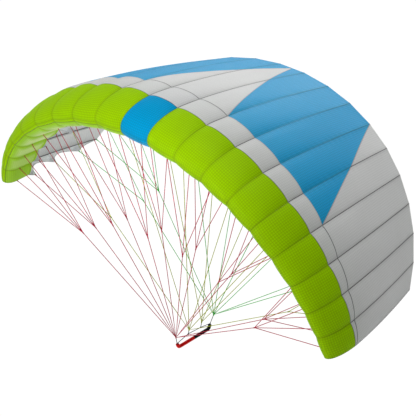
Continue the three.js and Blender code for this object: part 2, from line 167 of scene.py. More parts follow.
def build_camera():
    lens = bpy.data.cameras.new("camera")
    lens.lens = CAMERA_LENS
    lens.sensor_width = CAMERA_SENSOR
    camera = new_object("camera", lens)
    camera.location = CAMERA_PLACE
    camera.rotation_euler = CAMERA_TURN
    bpy.context.scene.camera = camera


build_floor()
build_surround()
for lamp_row in LAMPS:
    build_lamp(**lamp_row)
build_camera()
bpy.context.scene.view_settings.view_transform = "Standard"
bpy.context.scene.view_settings.exposure = PICTURE["exposure"]
bpy.context.scene.view_settings.gamma = PICTURE["gamma"]

# Ribs
# Flat profiles of pale, stiffened ripstop that give the wing its section. Each is cut with pointed tabs for
# the lines and with arches between them. Its edge is folded and sewn, and its top is sewn in a gore seam.
CENTRE_CHORD = 1.505
HALF_SPAN = 1.878
CELLS_A_SIDE = 9
HALF_CELL = 0.5
CELL_TAPER = 0.411
CHORD_LOSS = {"square": 0.273, "fourth": 0.158}
NOSE_SWEEP = {"square": 0.017, "fourth": 0.068}
TIP_LEAN = math.radians(75.2)
LEAN_BIAS = 0.228
PITCH = math.radians(4.95)
TIP_WASHOUT = math.radians(2.16)
NOSE = np.array([0.0, -0.467, 1.8196])
ARC_STEPS = 200
NOSE_START = {"middle": 0.0257, "tip_loss": 0.0297}
CROWN_AT, CROWN_HEIGHT, CROWN_FALL = 0.2224, 0.0888, 1.65
CHIN_AT, CHIN_DEPTH, CHIN_RISE = 0.0876, 0.0554, 0.04
LOWER_SKIN_END = {"middle": 0.24, "tip_loss": 0.03}
TAIL_END = 0.992
TAB_PLACE = {"A": 0.13, "B": 0.3, "C": 0.51, "D": 0.766, "T": TAIL_END}
TIP_TAB_AHEAD = {"A": 0.03, "B": 0.03}
TAB_DEPTH = {"B": 0.055, "C": 0.046, "D": 0.046, "T": 0.012}
TIP_TAB_DEEPER = {"depth": 0.03, "power": 8}
TAB_WIDTH = 0.012
ARCH_RISE = {"B": 0.095, "C": 0.07, "D": 0.02}
ARCH_SKEW = 0.62
ARCH_STEPS = 22
TAIL_TAPE = 0.018
TAPE_FROM, TAPE_END = 0.46, 0.94
TAPE_STEPS = 30
LOADED_RIBS = (2, 5, 8, 10)
RIB_CLOTH = 0.0012
RIB_DROP = 0.00195
RIB_HEM = 0.008
RIB_HEM_SWELL = 0.0007
RIB_FOLD = {"height": 0.0022, "leans": (-0.05, 0.02, 0.075), "width": 0.016, "round": 0.8}
RIB_NOSE_TURNS = (14, 90, 18)
RIB_CHIN_TURNS = (99, 180, 12)
RIB_ROWS = (0, 0.0035, 0.0055, 0.0085)
RIB_STITCH_ROW = 2
RIB_INNER_ROWS = 13
RIB_FULL_HEM = 0.03
RIB_LEAST = {"up": 0.05, "depth": 1e-4}
RIB_MOST_DROP = 0.5
RIB_COLOUR = (0.95, 0.955, 0.955, 1)
RIB_SEAM_COLOUR = (0.11, 0.115, 0.115, 1)
RIB_SEAM_SHOW = 0.85
RIB_SEAM_LINE = (0.004, 0.0065)
RIB_HEM_EDGE = (RIB_HEM - 0.001, RIB_HEM + 0.0005)
RIB_PATCH = (0.05, 0.054)
RIB_DOUBLE = {"show": 0.22, "colour": (0.33, 0.34, 0.35, 1)}
RIB_WEAVE_DEPTH = 0.08
WEAVE_PITCH = 0.0148
WEAVE_THREAD = 0.2
WEAVE_CORE = 0.02
PLAIN_WEAVE = {"threads": 9, "height": 0.18}
WEAVE_BUMP = {"Strength": 0.35, "Distance": 0.0004}
SLOW_TONE = {"Scale": 2.6, "Detail": 3.0}
QUICK_TONE = {"Scale": 34.0, "Detail": 2.0}
TONE = {"quick": 0.5, "middle": 0.75, "depth": 0.07}
CLOTH_ROUGH = {"plain": 0.4, "more_on_grid": 0.12}
CLOTH_GLOSS = 0.4
SHEER = 0.42


def rib_share(rib):
    """Where a rib stands on the half span. Rib 1 is beside the middle cell and rib 10 is the tip."""
    widths = [HALF_CELL]
    for cell in range(1, CELLS_A_SIDE + 1):
        widths.append(1 - CELL_TAPER * (cell / (CELLS_A_SIDE + HALF_CELL)) ** 2)
    return sum(widths[:rib]) / sum(widths)


def lean(share):
    return TIP_LEAN * ((1 - LEAN_BIAS) * share + LEAN_BIAS * share**3)


def rib_frame(rib):
    """A rib's nose, its chord and the directions aft, up and across. Its sign gives its side."""
    side = math.copysign(1, rib)
    share = rib_share(abs(rib))
    angles = lean((np.arange(ARC_STEPS) + 0.5) * share / ARC_STEPS)
    x = np.cos(angles).mean() * share * HALF_SPAN
    z = -np.sin(angles).mean() * share * HALF_SPAN
    pitch = PITCH - TIP_WASHOUT * share**2
    outward = np.array([side * math.sin(lean(share)), 0, math.cos(lean(share))])
    along = np.array([0.0, 1.0, 0.0])
    aft = along * math.cos(pitch) - outward * math.sin(pitch)
    up = along * math.sin(pitch) + outward * math.cos(pitch)
    sweep = NOSE_SWEEP["square"] * share**2 + NOSE_SWEEP["fourth"] * share**4
    chord = CENTRE_CHORD * (1 - CHORD_LOSS["square"] * share**2 - CHORD_LOSS["fourth"] * share**4)
    nose = NOSE + np.array([side * x, sweep, z])
    return SimpleNamespace(share=share, nose=nose, aft=aft, up=up, across=np.cross(aft, up), chord=chord)


RIB_NUMBERS = [*range(-CELLS_A_SIDE - 1, 0), *range(1, CELLS_A_SIDE + 2)]
RIBS = {rib: rib_frame(rib) for rib in RIB_NUMBERS}


def side_name(number):
    if number == 0:
        return "centre"
    return ("left_" if number < 0 else "right_") + str(abs(number))


def on_rib(rib, t, h):
    """Points in a rib's plane, from shares of its chord aft of the nose and above the chord line."""
    r = RIBS[rib]
    return r.nose + r.chord * (np.asarray(t)[..., None] * r.aft + np.asarray(h)[..., None] * r.up)


def nose_start(share):
    return NOSE_START["middle"] - NOSE_START["tip_loss"] * share**2


def lower_skin_end(share):
    return LOWER_SKIN_END["middle"] - LOWER_SKIN_END["tip_loss"] * share**2


def section(share, turn):
    """Place and outward direction on the section, from a turn in degrees. The nose is 0, the crown 90 and the
    trailing edge 180. The chin is -90 and the rear edge of the lower skin -180."""
    start = nose_start(share)
    angle = np.radians(np.clip(np.abs(turn), 0, 90))
    run = np.clip((np.abs(turn) - 90) / 90, 0, 1)
    top = turn >= 0
    reach = np.where(top, CROWN_AT, CHIN_AT) - start
    height = np.where(top, CROWN_HEIGHT, -CHIN_DEPTH)
    t = start + reach * (1 - np.cos(angle))
    h = height * np.sin(angle)
    aft, up = -np.cos(angle) / reach, np.sin(angle) / height
    rear = np.abs(turn) > 90
    length = np.where(top, 1 - CROWN_AT, lower_skin_end(share) - CHIN_AT)
    slope = np.where(top, -CROWN_HEIGHT * CROWN_FALL * run ** (CROWN_FALL - 1) / (1 - CROWN_AT), CHIN_RISE)
    rear_h = np.where(top, CROWN_HEIGHT * (1 - run**CROWN_FALL), -CHIN_DEPTH + CHIN_RISE * run * length)
    t, h = np.where(rear, t + run * length, t), np.where(rear, rear_h, h)
    aft, up = np.where(rear, np.where(top, -slope, slope), aft), np.where(rear, np.where(top, 1, -1), up)
    size = np.hypot(aft, up)
    return SimpleNamespace(t=t, h=h, aft=aft / size, up=up / size)


def top_turn(share, t):
    """The turn on the section of a place on its top."""
    start = nose_start(share)
    front = np.degrees(np.arccos(np.clip(1 - (t - start) / (CROWN_AT - start), -1, 1)))
    return np.where(t < CROWN_AT, front, 90 + 90 * (t - CROWN_AT) / (1 - CROWN_AT))


def top_height(share, t):
    return section(share, top_turn(share, t)).h


def under_height(t):
    return -CHIN_DEPTH + CHIN_RISE * (t - CHIN_AT)


def tab_place(row, rib):
    """Where the lines of a row hold a rib. Rows A and B hold every rib."""
    return TAB_PLACE[row] - TIP_TAB_AHEAD.get(row, 0) * RIBS[rib].share ** 2


def tab_depth(row, rib):
    """How deep a tab hangs. The tabs of row B are deeper towards the tips."""
    if row != "B":
        return TAB_DEPTH[row]
    return TAB_DEPTH[row] + TIP_TAB_DEEPER["depth"] * RIBS[rib].share ** TIP_TAB_DEEPER["power"]


def arch(start, end, rise):
    """The cut between two tabs, steep behind the first one and easy towards the second."""
    run = np.arange(1, ARCH_STEPS) / ARCH_STEPS
    skewed = run**ARCH_SKEW
    t = start[0] + (end[0] - start[0]) * run
    h = start[1] + (end[1] - start[1]) * run + rise * 4 * skewed * (1 - skewed)
    return list(zip(t, h))


def tab_corners(row, rib):
    place, h = tab_place(row, rib), -tab_depth(row, rib)
    return (place - TAB_WIDTH / 2, h), (place + TAB_WIDTH / 2, h)


def rib_lower_edge(rib):
    """The lower edge of a rib from its nose to its tail, as shares of the chord."""
    share = RIBS[rib].share
    drop = RIB_DROP / RIBS[rib].chord
    turns = np.concatenate([np.linspace(*RIB_NOSE_TURNS), np.linspace(*RIB_CHIN_TURNS)])
    under = section(share, -turns)
    edge = list(zip(under.t - under.aft * drop, under.h - under.up * drop))
    tail = (TAIL_END, -TAB_DEPTH["T"])
    front_b, rear_b = tab_corners("B", rib)
    edge += [front_b, rear_b]
    if abs(rib) not in LOADED_RIBS:
        deep = float(top_height(share, rear_b[0])) - TAIL_TAPE - rear_b[1]
        run = np.arange(1, ARCH_STEPS + 1) / ARCH_STEPS
        t = rear_b[0] + (TAPE_FROM - rear_b[0]) * run
        edge += list(zip(t, top_height(share, t) - TAIL_TAPE - deep * (1 - run) ** 3))
        t = np.linspace(TAPE_FROM, TAPE_END, TAPE_STEPS)[1:]
        edge += list(zip(t, top_height(share, t) - TAIL_TAPE))
        return np.array(edge + [tail])
    front_c, rear_c = tab_corners("C", rib)
    front_d, rear_d = tab_corners("D", rib)
    edge += [*arch(rear_b, front_c, ARCH_RISE["B"]), front_c, rear_c]
    edge += [*arch(rear_c, front_d, ARCH_RISE["C"]), front_d, rear_d]
    edge += arch(rear_d, tail, ARCH_RISE["D"])
    return np.array(edge + [tail])


def sheet_mesh(name, grid, thickness, values, cut):
    """A closed thin sheet under a grid of points on its outer face, with values and a flat cut as UV."""
    rows, columns = grid.shape[:2]
    along = np.gradient(grid, axis=1)
    aft = np.gradient(grid, axis=0)
    normal = np.cross(along, aft)
    normal /= np.linalg.norm(normal, axis=2, keepdims=True)
    inner = grid - normal * np.broadcast_to(thickness, (rows, columns))[..., None]
    count = rows * columns
    index = np.arange(count).reshape(rows, columns)
    quads = np.stack([index[:-1, :-1], index[:-1, 1:], index[1:, 1:], index[1:, :-1]], axis=-1).reshape(-1, 4)
    loop = np.concatenate([index[0, :-1], index[:-1, -1], index[-1, :0:-1], index[:0:-1, 0]])
    ahead = np.roll(loop, -1)
    rim = np.stack([ahead, loop, loop + count, ahead + count], axis=-1)
    faces = np.concatenate([quads, quads[:, ::-1] + count, rim])
    mesh = bpy.data.meshes.new(name)
    mesh.from_pydata(np.concatenate([grid, inner]).reshape(-1, 3).tolist(), [], faces.tolist())
    for key, value in values.items():
        attribute = mesh.attributes.new(key, "FLOAT", "POINT")
        attribute.data.foreach_set("value", np.tile(value.ravel(), 2).astype(np.float32))
    corner_points = np.empty(len(mesh.loops), np.int32)
    mesh.loops.foreach_get("vertex_index", corner_points)
    layer = mesh.uv_layers.new(name="cut")
    layer.data.foreach_set("uv", cut.reshape(-1, 2)[corner_points % count].astype(np.float32).ravel())
    mesh.shade_smooth()
    sharp = mesh.attributes.new("sharp_edge", "BOOLEAN", "EDGE")
    ends = np.empty(len(mesh.edges) * 2, np.int32)
    mesh.edges.foreach_get("vertices", ends)
    first, second = ends.reshape(-1, 2).T
    on_rim = np.isin(first % count, loop) & np.isin(second % count, loop)
    step = np.abs(first % count - second % count)
    sharp.data.foreach_set("value", on_rim & ((step <= 1) | (step == columns)))
    return mesh


def cut_size(grid):
    """The width, length and area of the flat cloth that a grid of points is cut from."""
    width = np.linalg.norm(np.diff(grid, axis=1), axis=2).sum(axis=1).max()
    length = np.linalg.norm(np.diff(grid, axis=0), axis=2).sum(axis=0).max()
    one = grid[1:, 1:] - grid[:-1, :-1]
    two = grid[1:, :-1] - grid[:-1, 1:]
    area = np.linalg.norm(np.cross(one, two), axis=2).sum() / 2
    return float(width), float(length), float(area)


def maths(tree, operation, *values):
    return add(tree, "ShaderNodeMath", {"operation": operation}, dict(enumerate(values))).outputs[0]


def fade(tree, value, start, end):
    """1 below start, 0 above end, smooth between them."""
    settings = {"interpolation_type": "SMOOTHSTEP"}
    inputs = {"Value": value, "From Min": start, "From Max": end, "To Min": 1.0, "To Max": 0.0}
    return add(tree, "ShaderNodeMapRange", settings, inputs).outputs[0]


def blend(tree, share, first, second, mode="MIX"):
    settings = {"data_type": "RGBA", "blend_type": mode}
    return add(tree, "ShaderNodeMix", settings, {"Factor": share, 6: first, 7: second}).outputs[2]


def attribute(tree, name):
    return add(tree, "ShaderNodeAttribute", {"attribute_name": name}).outputs["Fac"]


def add_socket(tree, name, kind, default=None, way="INPUT"):
    """A named input or output of a node group."""
    socket = tree.interface.new_socket(name, in_out=way, socket_type="NodeSocket" + kind)
    if default is not None:
        socket.default_value = default


def ripstop_group():
    """Ripstop weave: a square grid of thicker threads over a fine plain weave, from a flat cut in metres."""
    tree = bpy.data.node_groups.new("ripstop_weave", "ShaderNodeTree")
    add_socket(tree, "Cut", "Vector")
    add_socket(tree, "Pitch", "Float", WEAVE_PITCH)
    add_socket(tree, "Thread", "Float", WEAVE_THREAD)
    add_socket(tree, "Grid", "Float", way="OUTPUT")
    add_socket(tree, "Height", "Float", way="OUTPUT")
    given = tree.nodes.new("NodeGroupInput")
    parts = add(tree, "ShaderNodeSeparateXYZ", inputs={0: given.outputs["Cut"]})
    lines, waves = [], []
    for axis in (0, 1):
        place = maths(tree, "DIVIDE", parts.outputs[axis], given.outputs["Pitch"])
        apart = maths(tree, "PINGPONG", place, 0.5)
        lines.append(fade(tree, apart, WEAVE_CORE, given.outputs["Thread"]))
        phase = maths(tree, "MULTIPLY", place, 2 * math.pi * PLAIN_WEAVE["threads"])
        waves.append(maths(tree, "SINE", phase))
    grid = maths(tree, "MAXIMUM", *lines)
    plain = maths(tree, "MULTIPLY", maths(tree, "MULTIPLY", *waves), PLAIN_WEAVE["height"])
    given_out = tree.nodes.new("NodeGroupOutput")
    tree.links.new(grid, given_out.inputs["Grid"])
    tree.links.new(maths(tree, "ADD", grid, plain), given_out.inputs["Height"])
    return tree


RIPSTOP = ripstop_group()


def cloth_tone_group():
    """Slow, faint changes of tone over a large cloth, from Object coordinates."""
    tree = bpy.data.node_groups.new("cloth_tone", "ShaderNodeTree")
    add_socket(tree, "Depth", "Float", TONE["depth"])
    add_socket(tree, "Tone", "Float", way="OUTPUT")
    given = tree.nodes.new("NodeGroupInput")
    place = add(tree, "ShaderNodeTexCoord").outputs["Object"]
    slow = add(tree, "ShaderNodeTexNoise", inputs=dict(SLOW_TONE, Vector=place))
    quick = add(tree, "ShaderNodeTexNoise", inputs=dict(QUICK_TONE, Vector=place))
    faint = maths(tree, "MULTIPLY", quick.outputs["Fac"], TONE["quick"])
    both = maths(tree, "ADD", slow.outputs["Fac"], faint)
    drift = maths(tree, "MULTIPLY", maths(tree, "SUBTRACT", both, TONE["middle"]), given.outputs["Depth"])
    given_out = tree.nodes.new("NodeGroupOutput")
    tree.links.new(maths(tree, "ADD", 1.0, drift), given_out.inputs["Tone"])
    return tree


CLOTH_TONE = cloth_tone_group()


def finish_cloth(tree, output, colour, grid_depth, gloss):
    """Lays weave, tone and a gloss on a cloth colour, and lets part of the light through."""
    cut = add(tree, "ShaderNodeUVMap", {"uv_map": "cut"}).outputs[0]
    sizes = {"Cut": cut, "Pitch": WEAVE_PITCH, "Thread": WEAVE_THREAD}
    weave = add(tree, "ShaderNodeGroup", {"node_tree": RIPSTOP}, sizes)
    tone = add(tree, "ShaderNodeGroup", {"node_tree": CLOTH_TONE}, {"Depth": TONE["depth"]}).outputs["Tone"]
    darker = maths(tree, "SUBTRACT", 1.0, maths(tree, "MULTIPLY", weave.outputs["Grid"], grid_depth))
    colour = blend(tree, 1.0, colour, maths(tree, "MULTIPLY", darker, tone), "MULTIPLY")
    bump = add(tree, "ShaderNodeBump", inputs=dict(WEAVE_BUMP, Height=weave.outputs["Height"]))
    more = maths(tree, "MULTIPLY", weave.outputs["Grid"], CLOTH_ROUGH["more_on_grid"])
    rough = maths(tree, "ADD", CLOTH_ROUGH["plain"], more)
    body = add(
        tree,
        "ShaderNodeBsdfPrincipled",
        inputs={
            "Base Color": colour,
            "Roughness": rough,
            "Normal": bump.outputs[0],
            "Specular IOR Level": gloss,
        },
    )
    through = add(tree, "ShaderNodeBsdfTranslucent", inputs={"Color": colour, "Normal": bump.outputs[0]})
    mix = add(tree, "ShaderNodeMixShader", inputs={0: SHEER, 1: body.outputs[0], 2: through.outputs[0]})
    tree.links.new(mix.outputs[0], output.inputs["Surface"])


def rib_material():
    material, tree, output = new_material("rib_ripstop")
    seam = fade(tree, attribute(tree, "below_seam"), *RIB_SEAM_LINE)
    hem = fade(tree, attribute(tree, "above_hem"), *RIB_HEM_EDGE)
    patch = fade(tree, attribute(tree, "from_tab"), *RIB_PATCH)
    dense = maths(tree, "MULTIPLY", maths(tree, "MAXIMUM", hem, patch), RIB_DOUBLE["show"])
    colour = blend(tree, dense, RIB_COLOUR, RIB_DOUBLE["colour"])
    colour = blend(tree, maths(tree, "MULTIPLY", seam, RIB_SEAM_SHOW), colour, RIB_SEAM_COLOUR)
    finish_cloth(tree, output, colour, RIB_WEAVE_DEPTH, CLOTH_GLOSS)
    return material


def pulled_rows(rib):
    """The rows of lines that pull on the lower edge of a rib behind its nose."""
    return "BCDT" if abs(rib) in LOADED_RIBS else "BT"


def rib_folds(rib, t, share):
    """How far a rib's cloth is pulled sideways: soft folds that fan up from its tabs and fade at its top."""
    push = np.zeros_like(t)
    for order, row in enumerate(pulled_rows(rib)):
        for turn, lean_aft in enumerate(RIB_FOLD["leans"]):
            crest = tab_place(row, rib) + lean_aft * share
            sign = 1 if (order + turn) % 2 else -1
            push += sign * np.exp(-(((t - crest) / RIB_FOLD["width"]) ** 2))
    return RIB_FOLD["height"] * push * np.sin(math.pi * np.clip(share, 0, 1)) ** RIB_FOLD["round"]


STITCH_PATHS = {"rib_hem": [], "gore_seam": [], "panel_seam": [], "edge_hem": []}


def build_rib(rib, material):
    r = RIBS[rib]
    edge = rib_lower_edge(rib)
    t, low = edge.T
    top = section(r.share, top_turn(r.share, t))
    drop = RIB_DROP / r.chord / np.maximum(top.up, RIB_LEAST["up"])
    high = top.h - np.minimum(drop, RIB_MOST_DROP * top.h)
    deep = np.maximum(high - low, RIB_LEAST["depth"]) * r.chord
    hem_rows = np.array(RIB_ROWS)[:, None] * np.minimum(1, deep / RIB_FULL_HEM)[None, :]
    inner = np.linspace(0, 1, RIB_INNER_ROWS)[1:, None]
    lift = np.concatenate([hem_rows, hem_rows[-1] + (deep - hem_rows[-1]) * inner])
    share = lift / deep
    grid_t = np.broadcast_to(t, share.shape)
    grid_h = low + lift / r.chord
    hem = RIB_HEM_SWELL * (lift < RIB_HEM)
    thick = RIB_CLOTH + hem
    push = rib_folds(rib, grid_t, share) + thick / 2
    grid = on_rib(rib, grid_t, grid_h) + push[..., None] * r.across
    from_tab = np.full(share.shape, 1.0)
    for row in pulled_rows(rib):
        tip = (tab_place(row, rib), -tab_depth(row, rib))
        from_tab = np.minimum(from_tab, np.hypot(grid_t - tip[0], grid_h - tip[1]) * r.chord)
    values = {"below_seam": deep - lift, "above_hem": lift, "from_tab": from_tab}
    cut = np.stack([grid_t, grid_h], axis=-1) * r.chord
    name = "rib_sheet_" + side_name(rib)
    piece = new_object(name, sheet_mesh(name, grid[::-1], thick[::-1], flipped(values), cut[::-1]))
    piece.data.materials.append(material)
    stitch_row = grid[RIB_STITCH_ROW] - (thick[RIB_STITCH_ROW] / 2)[:, None] * r.across
    facing = np.broadcast_to(r.across, stitch_row.shape)
    dye = np.broadcast_to(RIB_COLOUR[:3], stitch_row.shape)
    STITCH_PATHS["rib_hem"].append((stitch_row, facing, dye))
    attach(piece, "root")
    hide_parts("rib_" + side_name(rib))


def flipped(values):
    return {key: value[::-1] for key, value in values.items()}


rib_cloth = rib_material()
for rib in RIB_NUMBERS:
    build_rib(rib, rib_cloth)

# Top gores
# One strip of ripstop for each cell, pieced from colour panels and swollen by the air between its two ribs.
# The panels are sewn edge to edge across the span, and the gores are sewn to each other along the ribs.
NOSE_SEAM_ANGLE = 22.0
NOSE_SEAM_GAP = 0.7
SWELL = {"nose": 0.033, "crown": 0.096, "chin": 0.029, "lower_skin_end": 0.12}
SWELL_FADE = {"crown": 4, "chin": 2, "tail": 1.5}
SWELL_ROUND = 2.6
GORE_CLOTH = 0.0012
GORE_EDGE = (0, 0.0025, 0.0048, 0.007, 0.0105)
GORE_COLUMNS = 20
NOSE_ROWS, STRIP_ROWS, REAR_ROWS = 52, 18, 104
PANEL_EDGE = (0.0035, 0.0065)
NOSE_PANEL = 0.25
LEAST_STRIP = 0.03
SEAM_ONE = {"middle": 0.1873, "square": 0.0102}
SEAM_TWO = {"middle": 0.316, "square": 0.0825, "sixth": 0.0172}
WELT = {"height": 0.0005, "half_width": 0.0045}
PUCKER = {"depth": 0.0004, "pitch": 0.052, "peak": 0.012}
PUCKER_DRIFT = {"phase": 1.7, "depth": 0.8, "rate": 9}
PULL = {"depth": 0.0035, "reach_t": 0.035, "reach": 0.07, "peak": 0.02}
SEAM_STITCH_COLUMNS = (3, -4)
PANEL_STITCH_ROW = 2
HEM_WIDTH = 0.012
NOSE_TAPE = 0.021
BLUE_INNER = {"at_rib_1": 0.75, "at_centre": 1.0}
BLUE_OUTER = {"at_rib_4": 1.0, "at_rib_5": 0.67}
ALL_BLUE_CELLS = (2, 3)
GREEN = (0.47, 0.755, 0.0, 1)
BLUE = (0.0, 0.47, 0.765, 1)
NOSE_BLUE = (0.0, 0.46, 0.78, 1)
GREY = (0.74, 0.745, 0.74, 1)
SEAM_GREY = (0.15, 0.15, 0.153, 1)
SEAM_DEPTH = 0.3
WEAVE_DEPTH = {"colour": 0.23, "less_on_grey": 0.13}
CANOPY_GLOSS = {"nose": 0.05, "more_behind": 0.5}
EDGE_TAPE = (0.56, 0.48, 0.46, 1)
EDGE_TAPE_SHOW = 0.7
SLANT_OVERLAP = 0.003
# Painted shade: the cloth is darkened towards black beside each rib, where the swollen cells fold down into
# the seams.
CREASE_SHADE = {"edge": (0.002, 0.026), "show": 0.05, "colour": (0, 0, 0, 1)}
SEAM_DARK = (0, 0.02, 0.01, 1)
LINE_EDGE = {
    "rib": (0.0014, 0.0030),
    "seam_1": (0.0018, 0.0036),
    "seam_2": (0.0016, 0.0034),
    "tape": (0.0014, 0.0030),
    "slant": (0.0018, 0.0038),
}


def seam_places(share):
    """Where the two seams across the span cross a rib: behind the nose panel, and before the rear panel."""
    one = SEAM_ONE["middle"] + SEAM_ONE["square"] * share**2
    two = SEAM_TWO["middle"] - SEAM_TWO["square"] * share**2 - SEAM_TWO["sixth"] * share**6
    return one, two


def cell_ribs(cell):
    """The two ribs of a cell in order along +X."""
    if cell == 0:
        return -1, 1
    return (cell, cell + 1) if cell > 0 else (cell - 1, cell)


def evenly(count, length, edge):
    """Shares from 0 to 1 with close rows at both ends, at the distances of edge."""
    ends = np.array(edge) / length
    middle = np.linspace(ends[-1], 1 - ends[-1], count)
    return np.concatenate([[0], ends[:-1], middle, 1 - ends[-2::-1], [1]])


def gore_turns(share, seam_one, seam_two, chord):
    """The turn on the section of every row of a gore, for one column."""
    one, two = float(top_turn(share, seam_one)), float(top_turn(share, seam_two))
    nose = -NOSE_SEAM_ANGLE + (NOSE_SEAM_ANGLE + one) * evenly(NOSE_ROWS, NOSE_PANEL * chord, PANEL_EDGE)
    strip_length = max((seam_two - seam_one) * chord, LEAST_STRIP)
    strip = one + (two - one) * evenly(STRIP_ROWS, strip_length, PANEL_EDGE)
    rear = two + (180 - two) * evenly(REAR_ROWS, (1 - seam_two) * chord, PANEL_EDGE)
    return np.concatenate([nose, strip[1:], rear[1:]])


def swell_at(turn):
    """How far the cloth of a cell swells between its ribs, as a share of the cell's width."""
    angle = np.radians(np.clip(np.abs(turn), 0, 90))
    run = np.clip((np.abs(turn) - 90) / 90, 0, 1)
    crown = SWELL["nose"] + (SWELL["crown"] - SWELL["nose"]) * np.sin(angle) ** SWELL_FADE["crown"]
    chin = SWELL["nose"] + (SWELL["chin"] - SWELL["nose"]) * np.sin(angle) ** SWELL_FADE["chin"]
    under = chin + (SWELL["lower_skin_end"] - SWELL["chin"]) * run
    return np.where(turn >= 0, crown * (1 - run) ** SWELL_FADE["tail"], under)


def cell_points(first, second, turn):
    """Points of a cell's outer face, the outward direction there and their places between the two ribs."""
    ends, outward = [], 0
    for rib in (first, second):
        place = section(RIBS[rib].share, turn)
        ends.append(on_rib(rib, place.t, place.h))
        outward = outward + place.aft[..., None] * RIBS[rib].aft + place.up[..., None] * RIBS[rib].up
    outward = outward / np.linalg.norm(outward, axis=2, keepdims=True)
    a, b = ends
    width = np.linalg.norm(b - a, axis=2)
    near = np.array(GORE_EDGE)
    start, end = near[-1] / width[:, :1], 1 - near[-1] / width[:, -1:]
    inner = start + (end - start) * np.linspace(0, 1, GORE_COLUMNS)[None, :]
    first_edge, last_edge = near[None, :-1] / width[:, :1], 1 - near[None, -2::-1] / width[:, -1:]
    across = np.concatenate([first_edge, inner, last_edge], axis=1)
    bulge = swell_at(turn) * width * (1 - np.abs(2 * across - 1) ** SWELL_ROUND)
    return SimpleNamespace(
        points=a + (b - a) * across[..., None] + outward * bulge[..., None],
        outward=outward,
        across=across,
        from_rib=np.minimum(across, 1 - across) * width,
        sideways=(across - 0.5) * width,
    )


def run_along(points):
    steps = np.linalg.norm(np.diff(points, axis=0), axis=2)
    return np.concatenate([np.zeros((1, points.shape[1])), np.cumsum(steps, axis=0)])


def diagonal(cell, share):
    """Where the slanted edge of the blue panel crosses a cell, and which side is blue: 1 behind, -1 ahead."""
    outwards = share if cell >= 0 else 1 - share
    seam_at = {rib: seam_places(RIBS[rib].share)[1] for rib in (2, 6)}
    ends = {
        1: (BLUE_INNER["at_rib_1"], seam_at[2], 1),
        4: (BLUE_OUTER["at_rib_4"], BLUE_OUTER["at_rib_5"], -1),
        5: (BLUE_OUTER["at_rib_5"], seam_at[6], -1),
    }
    if cell == 0:
        fall = BLUE_INNER["at_centre"] - BLUE_INNER["at_rib_1"]
        return BLUE_INNER["at_centre"] - fall * np.abs(2 * share - 1), 1
    if abs(cell) in ends:
        near, far, side = ends[abs(cell)]
        return near + (far - near) * outwards, side
    return None, 1 if abs(cell) in ALL_BLUE_CELLS else -1


def canopy_material(name, nose_colour):
    material, tree, output = new_material(name)
    one, two = attribute(tree, "behind_seam_1"), attribute(tree, "behind_seam_2")
    blue, rib = attribute(tree, "inside_blue"), attribute(tree, "from_rib")
    behind = maths(tree, "GREATER_THAN", one, 0.0)
    behind_two = maths(tree, "GREATER_THAN", two, 0.0)
    by_blue = maths(tree, "GREATER_THAN", blue, 0.0)
    is_blue = maths(tree, "MULTIPLY", by_blue, behind_two)
    colour = blend(tree, behind, nose_colour, GREY)
    colour = blend(tree, is_blue, colour, BLUE)
    is_grey = maths(tree, "MULTIPLY", behind, maths(tree, "SUBTRACT", 1.0, is_blue))
    rib_line = fade(tree, rib, *LINE_EDGE["rib"])
    one_line = fade(tree, maths(tree, "ABSOLUTE", one), *LINE_EDGE["seam_1"])
    two_near = fade(tree, maths(tree, "ABSOLUTE", two), *LINE_EDGE["seam_2"])
    two_line = maths(tree, "MULTIPLY", two_near, maths(tree, "SUBTRACT", 1.0, by_blue))
    line = maths(tree, "MAXIMUM", rib_line, maths(tree, "MAXIMUM", one_line, two_line))
    from_tape = maths(tree, "ABSOLUTE", maths(tree, "SUBTRACT", attribute(tree, "behind_front"), NOSE_TAPE))
    line = maths(tree, "MAXIMUM", line, fade(tree, from_tape, *LINE_EDGE["tape"]))
    slant_line = fade(tree, maths(tree, "ABSOLUTE", blue), *LINE_EDGE["slant"])
    slant_line = maths(tree, "MULTIPLY", slant_line, maths(tree, "GREATER_THAN", two, -SLANT_OVERLAP))
    edge_line = maths(tree, "MAXIMUM", slant_line, maths(tree, "MULTIPLY", two_near, by_blue))
    # Painted shade in the folds beside each rib.
    crease_shade = maths(tree, "MULTIPLY", fade(tree, rib, *CREASE_SHADE["edge"]), CREASE_SHADE["show"])
    colour = blend(tree, crease_shade, colour, CREASE_SHADE["colour"])
    colour = blend(tree, maths(tree, "MULTIPLY", edge_line, EDGE_TAPE_SHOW), colour, EDGE_TAPE)
    own_dark = blend(tree, SEAM_DEPTH, colour, SEAM_DARK)
    thread_line = blend(tree, is_grey, own_dark, SEAM_GREY)
    colour = blend(tree, line, colour, thread_line)
    less = maths(tree, "MULTIPLY", is_grey, WEAVE_DEPTH["less_on_grey"])
    depth = maths(tree, "SUBTRACT", WEAVE_DEPTH["colour"], less)
    gloss = maths(tree, "MULTIPLY_ADD", behind, CANOPY_GLOSS["more_behind"], CANOPY_GLOSS["nose"])
    finish_cloth(tree, output, colour, depth, gloss)
    return material


def pucker_height(wave, from_rib):
    """Small waves of the cloth beside a seam, highest a little way from it."""
    near = from_rib / PUCKER["peak"]
    return PUCKER["depth"] * wave * near * np.exp(1 - near)


def ridge(distance, half_width=WELT["half_width"]):
    """1 on a seam or hem of doubled cloth, and 0 off it."""
    return np.exp(-((distance / half_width) ** 4))


def row_at(distance, wanted):
    """The row of a grid that is nearest to a distance, in its middle column."""
    return int(np.argmin(np.abs(distance[:, distance.shape[1] // 2] - wanted)))


def sew_sides(points, outward, dye):
    for column in SEAM_STITCH_COLUMNS:
        STITCH_PATHS["gore_seam"].append((points[:, column], outward[:, column], dye[:, column]))


def sew_row(seam, row, points, outward, dye):
    STITCH_PATHS[seam].append((points[row], outward[row], dye[row]))


